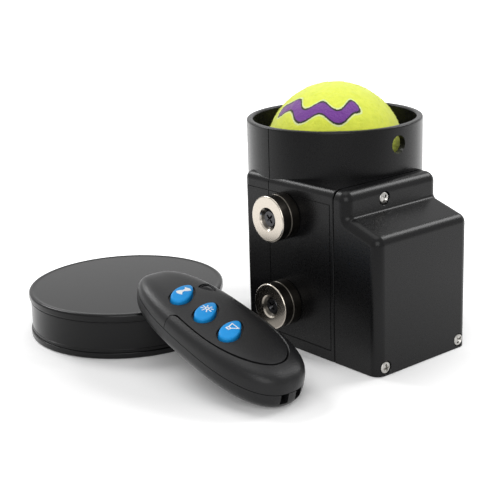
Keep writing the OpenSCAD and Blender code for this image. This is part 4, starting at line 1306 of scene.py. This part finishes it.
def build_lens():
    """Dark lens set into the panel, with a faceted middle."""
    spot = on_panel(*LENS_AT)
    rings = [[spot @ Vector((x, y, -LENS_D)) for x, y in lens_plan(LENS_GAP)]]
    facets = ((LENS_GAP, 0.32), (0.35, 0.2), (0.9, 0.22), (1.15, 0.5), (LENS_CORNER - LENS_GAP, 0.25))
    for shrink, drop in facets:
        ring = []
        for x, y in lens_plan(shrink):
            ring.append(spot @ Vector((x, y, top_height(LENS_AT[0] + x, LENS_AT[1] + y) - drop)))
        rings.append(ring)
    piece(smooth(stack("remote_lens_skin", rings), 12.0), "remote", "lens", "remote_lens")


# Inner CAD nodes keep their shape and take the material of their slot

def dress_nodes():
    """Gives every node the material that the record names for it."""
    slots = {row["node"]: row["material_slot"] for row in frame["record"]["subparts"]}
    for name, obj in frame["nodes"].items():
        if obj.material_slots:
            obj.material_slots[0].material = MATERIALS[slots[name]]
        else:
            obj.data.materials.append(MATERIALS[slots[name]])


# Stage: floor, world, lamps and camera

def any_ray(tree, kinds):
    """One for rays of any of these kinds."""
    path = tree.nodes.new("ShaderNodeLightPath")
    value = path.outputs[kinds[0]]
    for other in kinds[1:]:
        node = tree.nodes.new("ShaderNodeMath")
        node.operation = "MAXIMUM"
        tree.links.new(value, node.inputs[0])
        tree.links.new(path.outputs[other], node.inputs[1])
        value = node.outputs[0]
    return value


def floor_glow(s):
    """Glow of the floor: it fades near the object, and for mirroring rays also towards the front."""
    way = s.tree.nodes.new("ShaderNodeVectorMath")
    way.operation = "DISTANCE"
    s.link(s.place, way.inputs[0])
    way.inputs[1].default_value = FLOOR_MID
    away = way.outputs["Value"]
    shown = s.math("MULTIPLY", any_ray(s.tree, CAMERA_RAYS), s.span(away, FLOOR_NEAR, 1.0, *FLOOR_FAR))
    x, y, _ = s.axes()
    front = s.span(s.math("ADD", x, y), FLOOR_FRONT, 1.0, *FLOOR_FRONT_SPAN)
    mirrored = s.math("MULTIPLY", front, s.span(away, FLOOR_MIRRORED, 1.0, *FLOOR_FAR))
    mirrored = s.math("MULTIPLY", any_ray(s.tree, MIRROR_RAYS), mirrored)
    return s.math("MAXIMUM", shown, mirrored)


def build_floor():
    """White floor that keeps the shadow."""
    low, high = FLOOR_Z
    floor = box("floor", (-FLOOR_HALF, -FLOOR_HALF, low), (FLOOR_HALF, FLOOR_HALF, high))
    s = Shader("floor_paper")
    s.give("Base Color", s.mix(s.noise(6.0, detail=2.0), (0.86, 0.86, 0.86), (0.88, 0.88, 0.88)))
    s.give("Roughness", 0.9)
    s.give("Specular IOR Level", 0.1)
    s.give("Emission Color", (1.0, 1.0, 1.0, 1.0))
    s.give("Emission Strength", floor_glow(s))
    floor.data.materials.append(s.made)


def build_world():
    """White world, at full level only where it is seen or mirrored."""
    world = bpy.data.worlds.new("studio")
    bpy.context.scene.world = world
    world.use_nodes = True
    tree = world.node_tree
    back = tree.nodes["Background"]
    level = tree.nodes.new("ShaderNodeMapRange")
    level.inputs["To Min"].default_value = WORLD_LEVEL
    level.inputs["To Max"].default_value = 1.0
    tree.links.new(any_ray(tree, CAMERA_RAYS + MIRROR_RAYS), level.inputs["Value"])
    back.inputs["Color"].default_value = (1.0, 1.0, 1.0, 1.0)
    tree.links.new(level.outputs["Result"], back.inputs["Strength"])


def add_lamp(name, place, aim, size, power):
    """Square lamp that faces its aim."""
    data = bpy.data.lights.new(name, "AREA")
    data.shape = "SQUARE"
    data.size = size
    data.energy = power
    lamp = bpy.data.objects.new(name, data)
    lamp.location = place
    lamp.rotation_mode = "QUATERNION"
    lamp.rotation_quaternion = (Vector(aim) - Vector(place)).to_track_quat("-Z", "Y")
    bpy.context.scene.collection.objects.link(lamp)


def build_lamps():
    add_lamp("overhead", OVERHEAD_AT, OVERHEAD_AIM, OVERHEAD_SIZE, OVERHEAD_POWER)
    add_lamp("back", BACK_AT, LAMP_AIM, SIDE_SIZE, BACK_POWER)
    add_lamp("right", RIGHT_AT, LAMP_AIM, SIDE_SIZE, RIGHT_POWER)
    add_lamp("front", FRONT_AT, LAMP_AIM, FRONT_SIZE, FRONT_POWER)


def build_camera():
    """Camera fitted to the photo."""
    az, down, roll = CAMERA_AZ, CAMERA_DOWN, CAMERA_ROLL
    back = Vector((math.sin(az) * math.cos(down), -math.cos(az) * math.cos(down), math.sin(down)))
    right = (-back).cross(Vector((0, 0, 1))).normalized()
    up = right.cross(-back)
    right, up = right * math.cos(roll) + up * math.sin(roll), up * math.cos(roll) - right * math.sin(roll)
    data = bpy.data.cameras.new("camera")
    data.lens = CAMERA_LENS
    data.sensor_width = SENSOR
    data.clip_start, data.clip_end = CAMERA_CLIP
    cam = bpy.data.objects.new("camera", data)
    turn = Matrix((right, up, back)).transposed().to_4x4()
    cam.matrix_world = Matrix.Translation(Vector(CAMERA_AT) * MM) @ turn
    bpy.context.scene.collection.objects.link(cam)
    bpy.context.scene.camera = cam


dress_nodes()
build_cover()
build_cover_screws()
build_shells()
build_magnets()
build_ball()
build_lid()
build_remote_case()
build_buttons()
build_lens()

build_floor()
build_world()
build_lamps()
build_camera()
bpy.context.scene.view_settings.view_transform = "Standard"
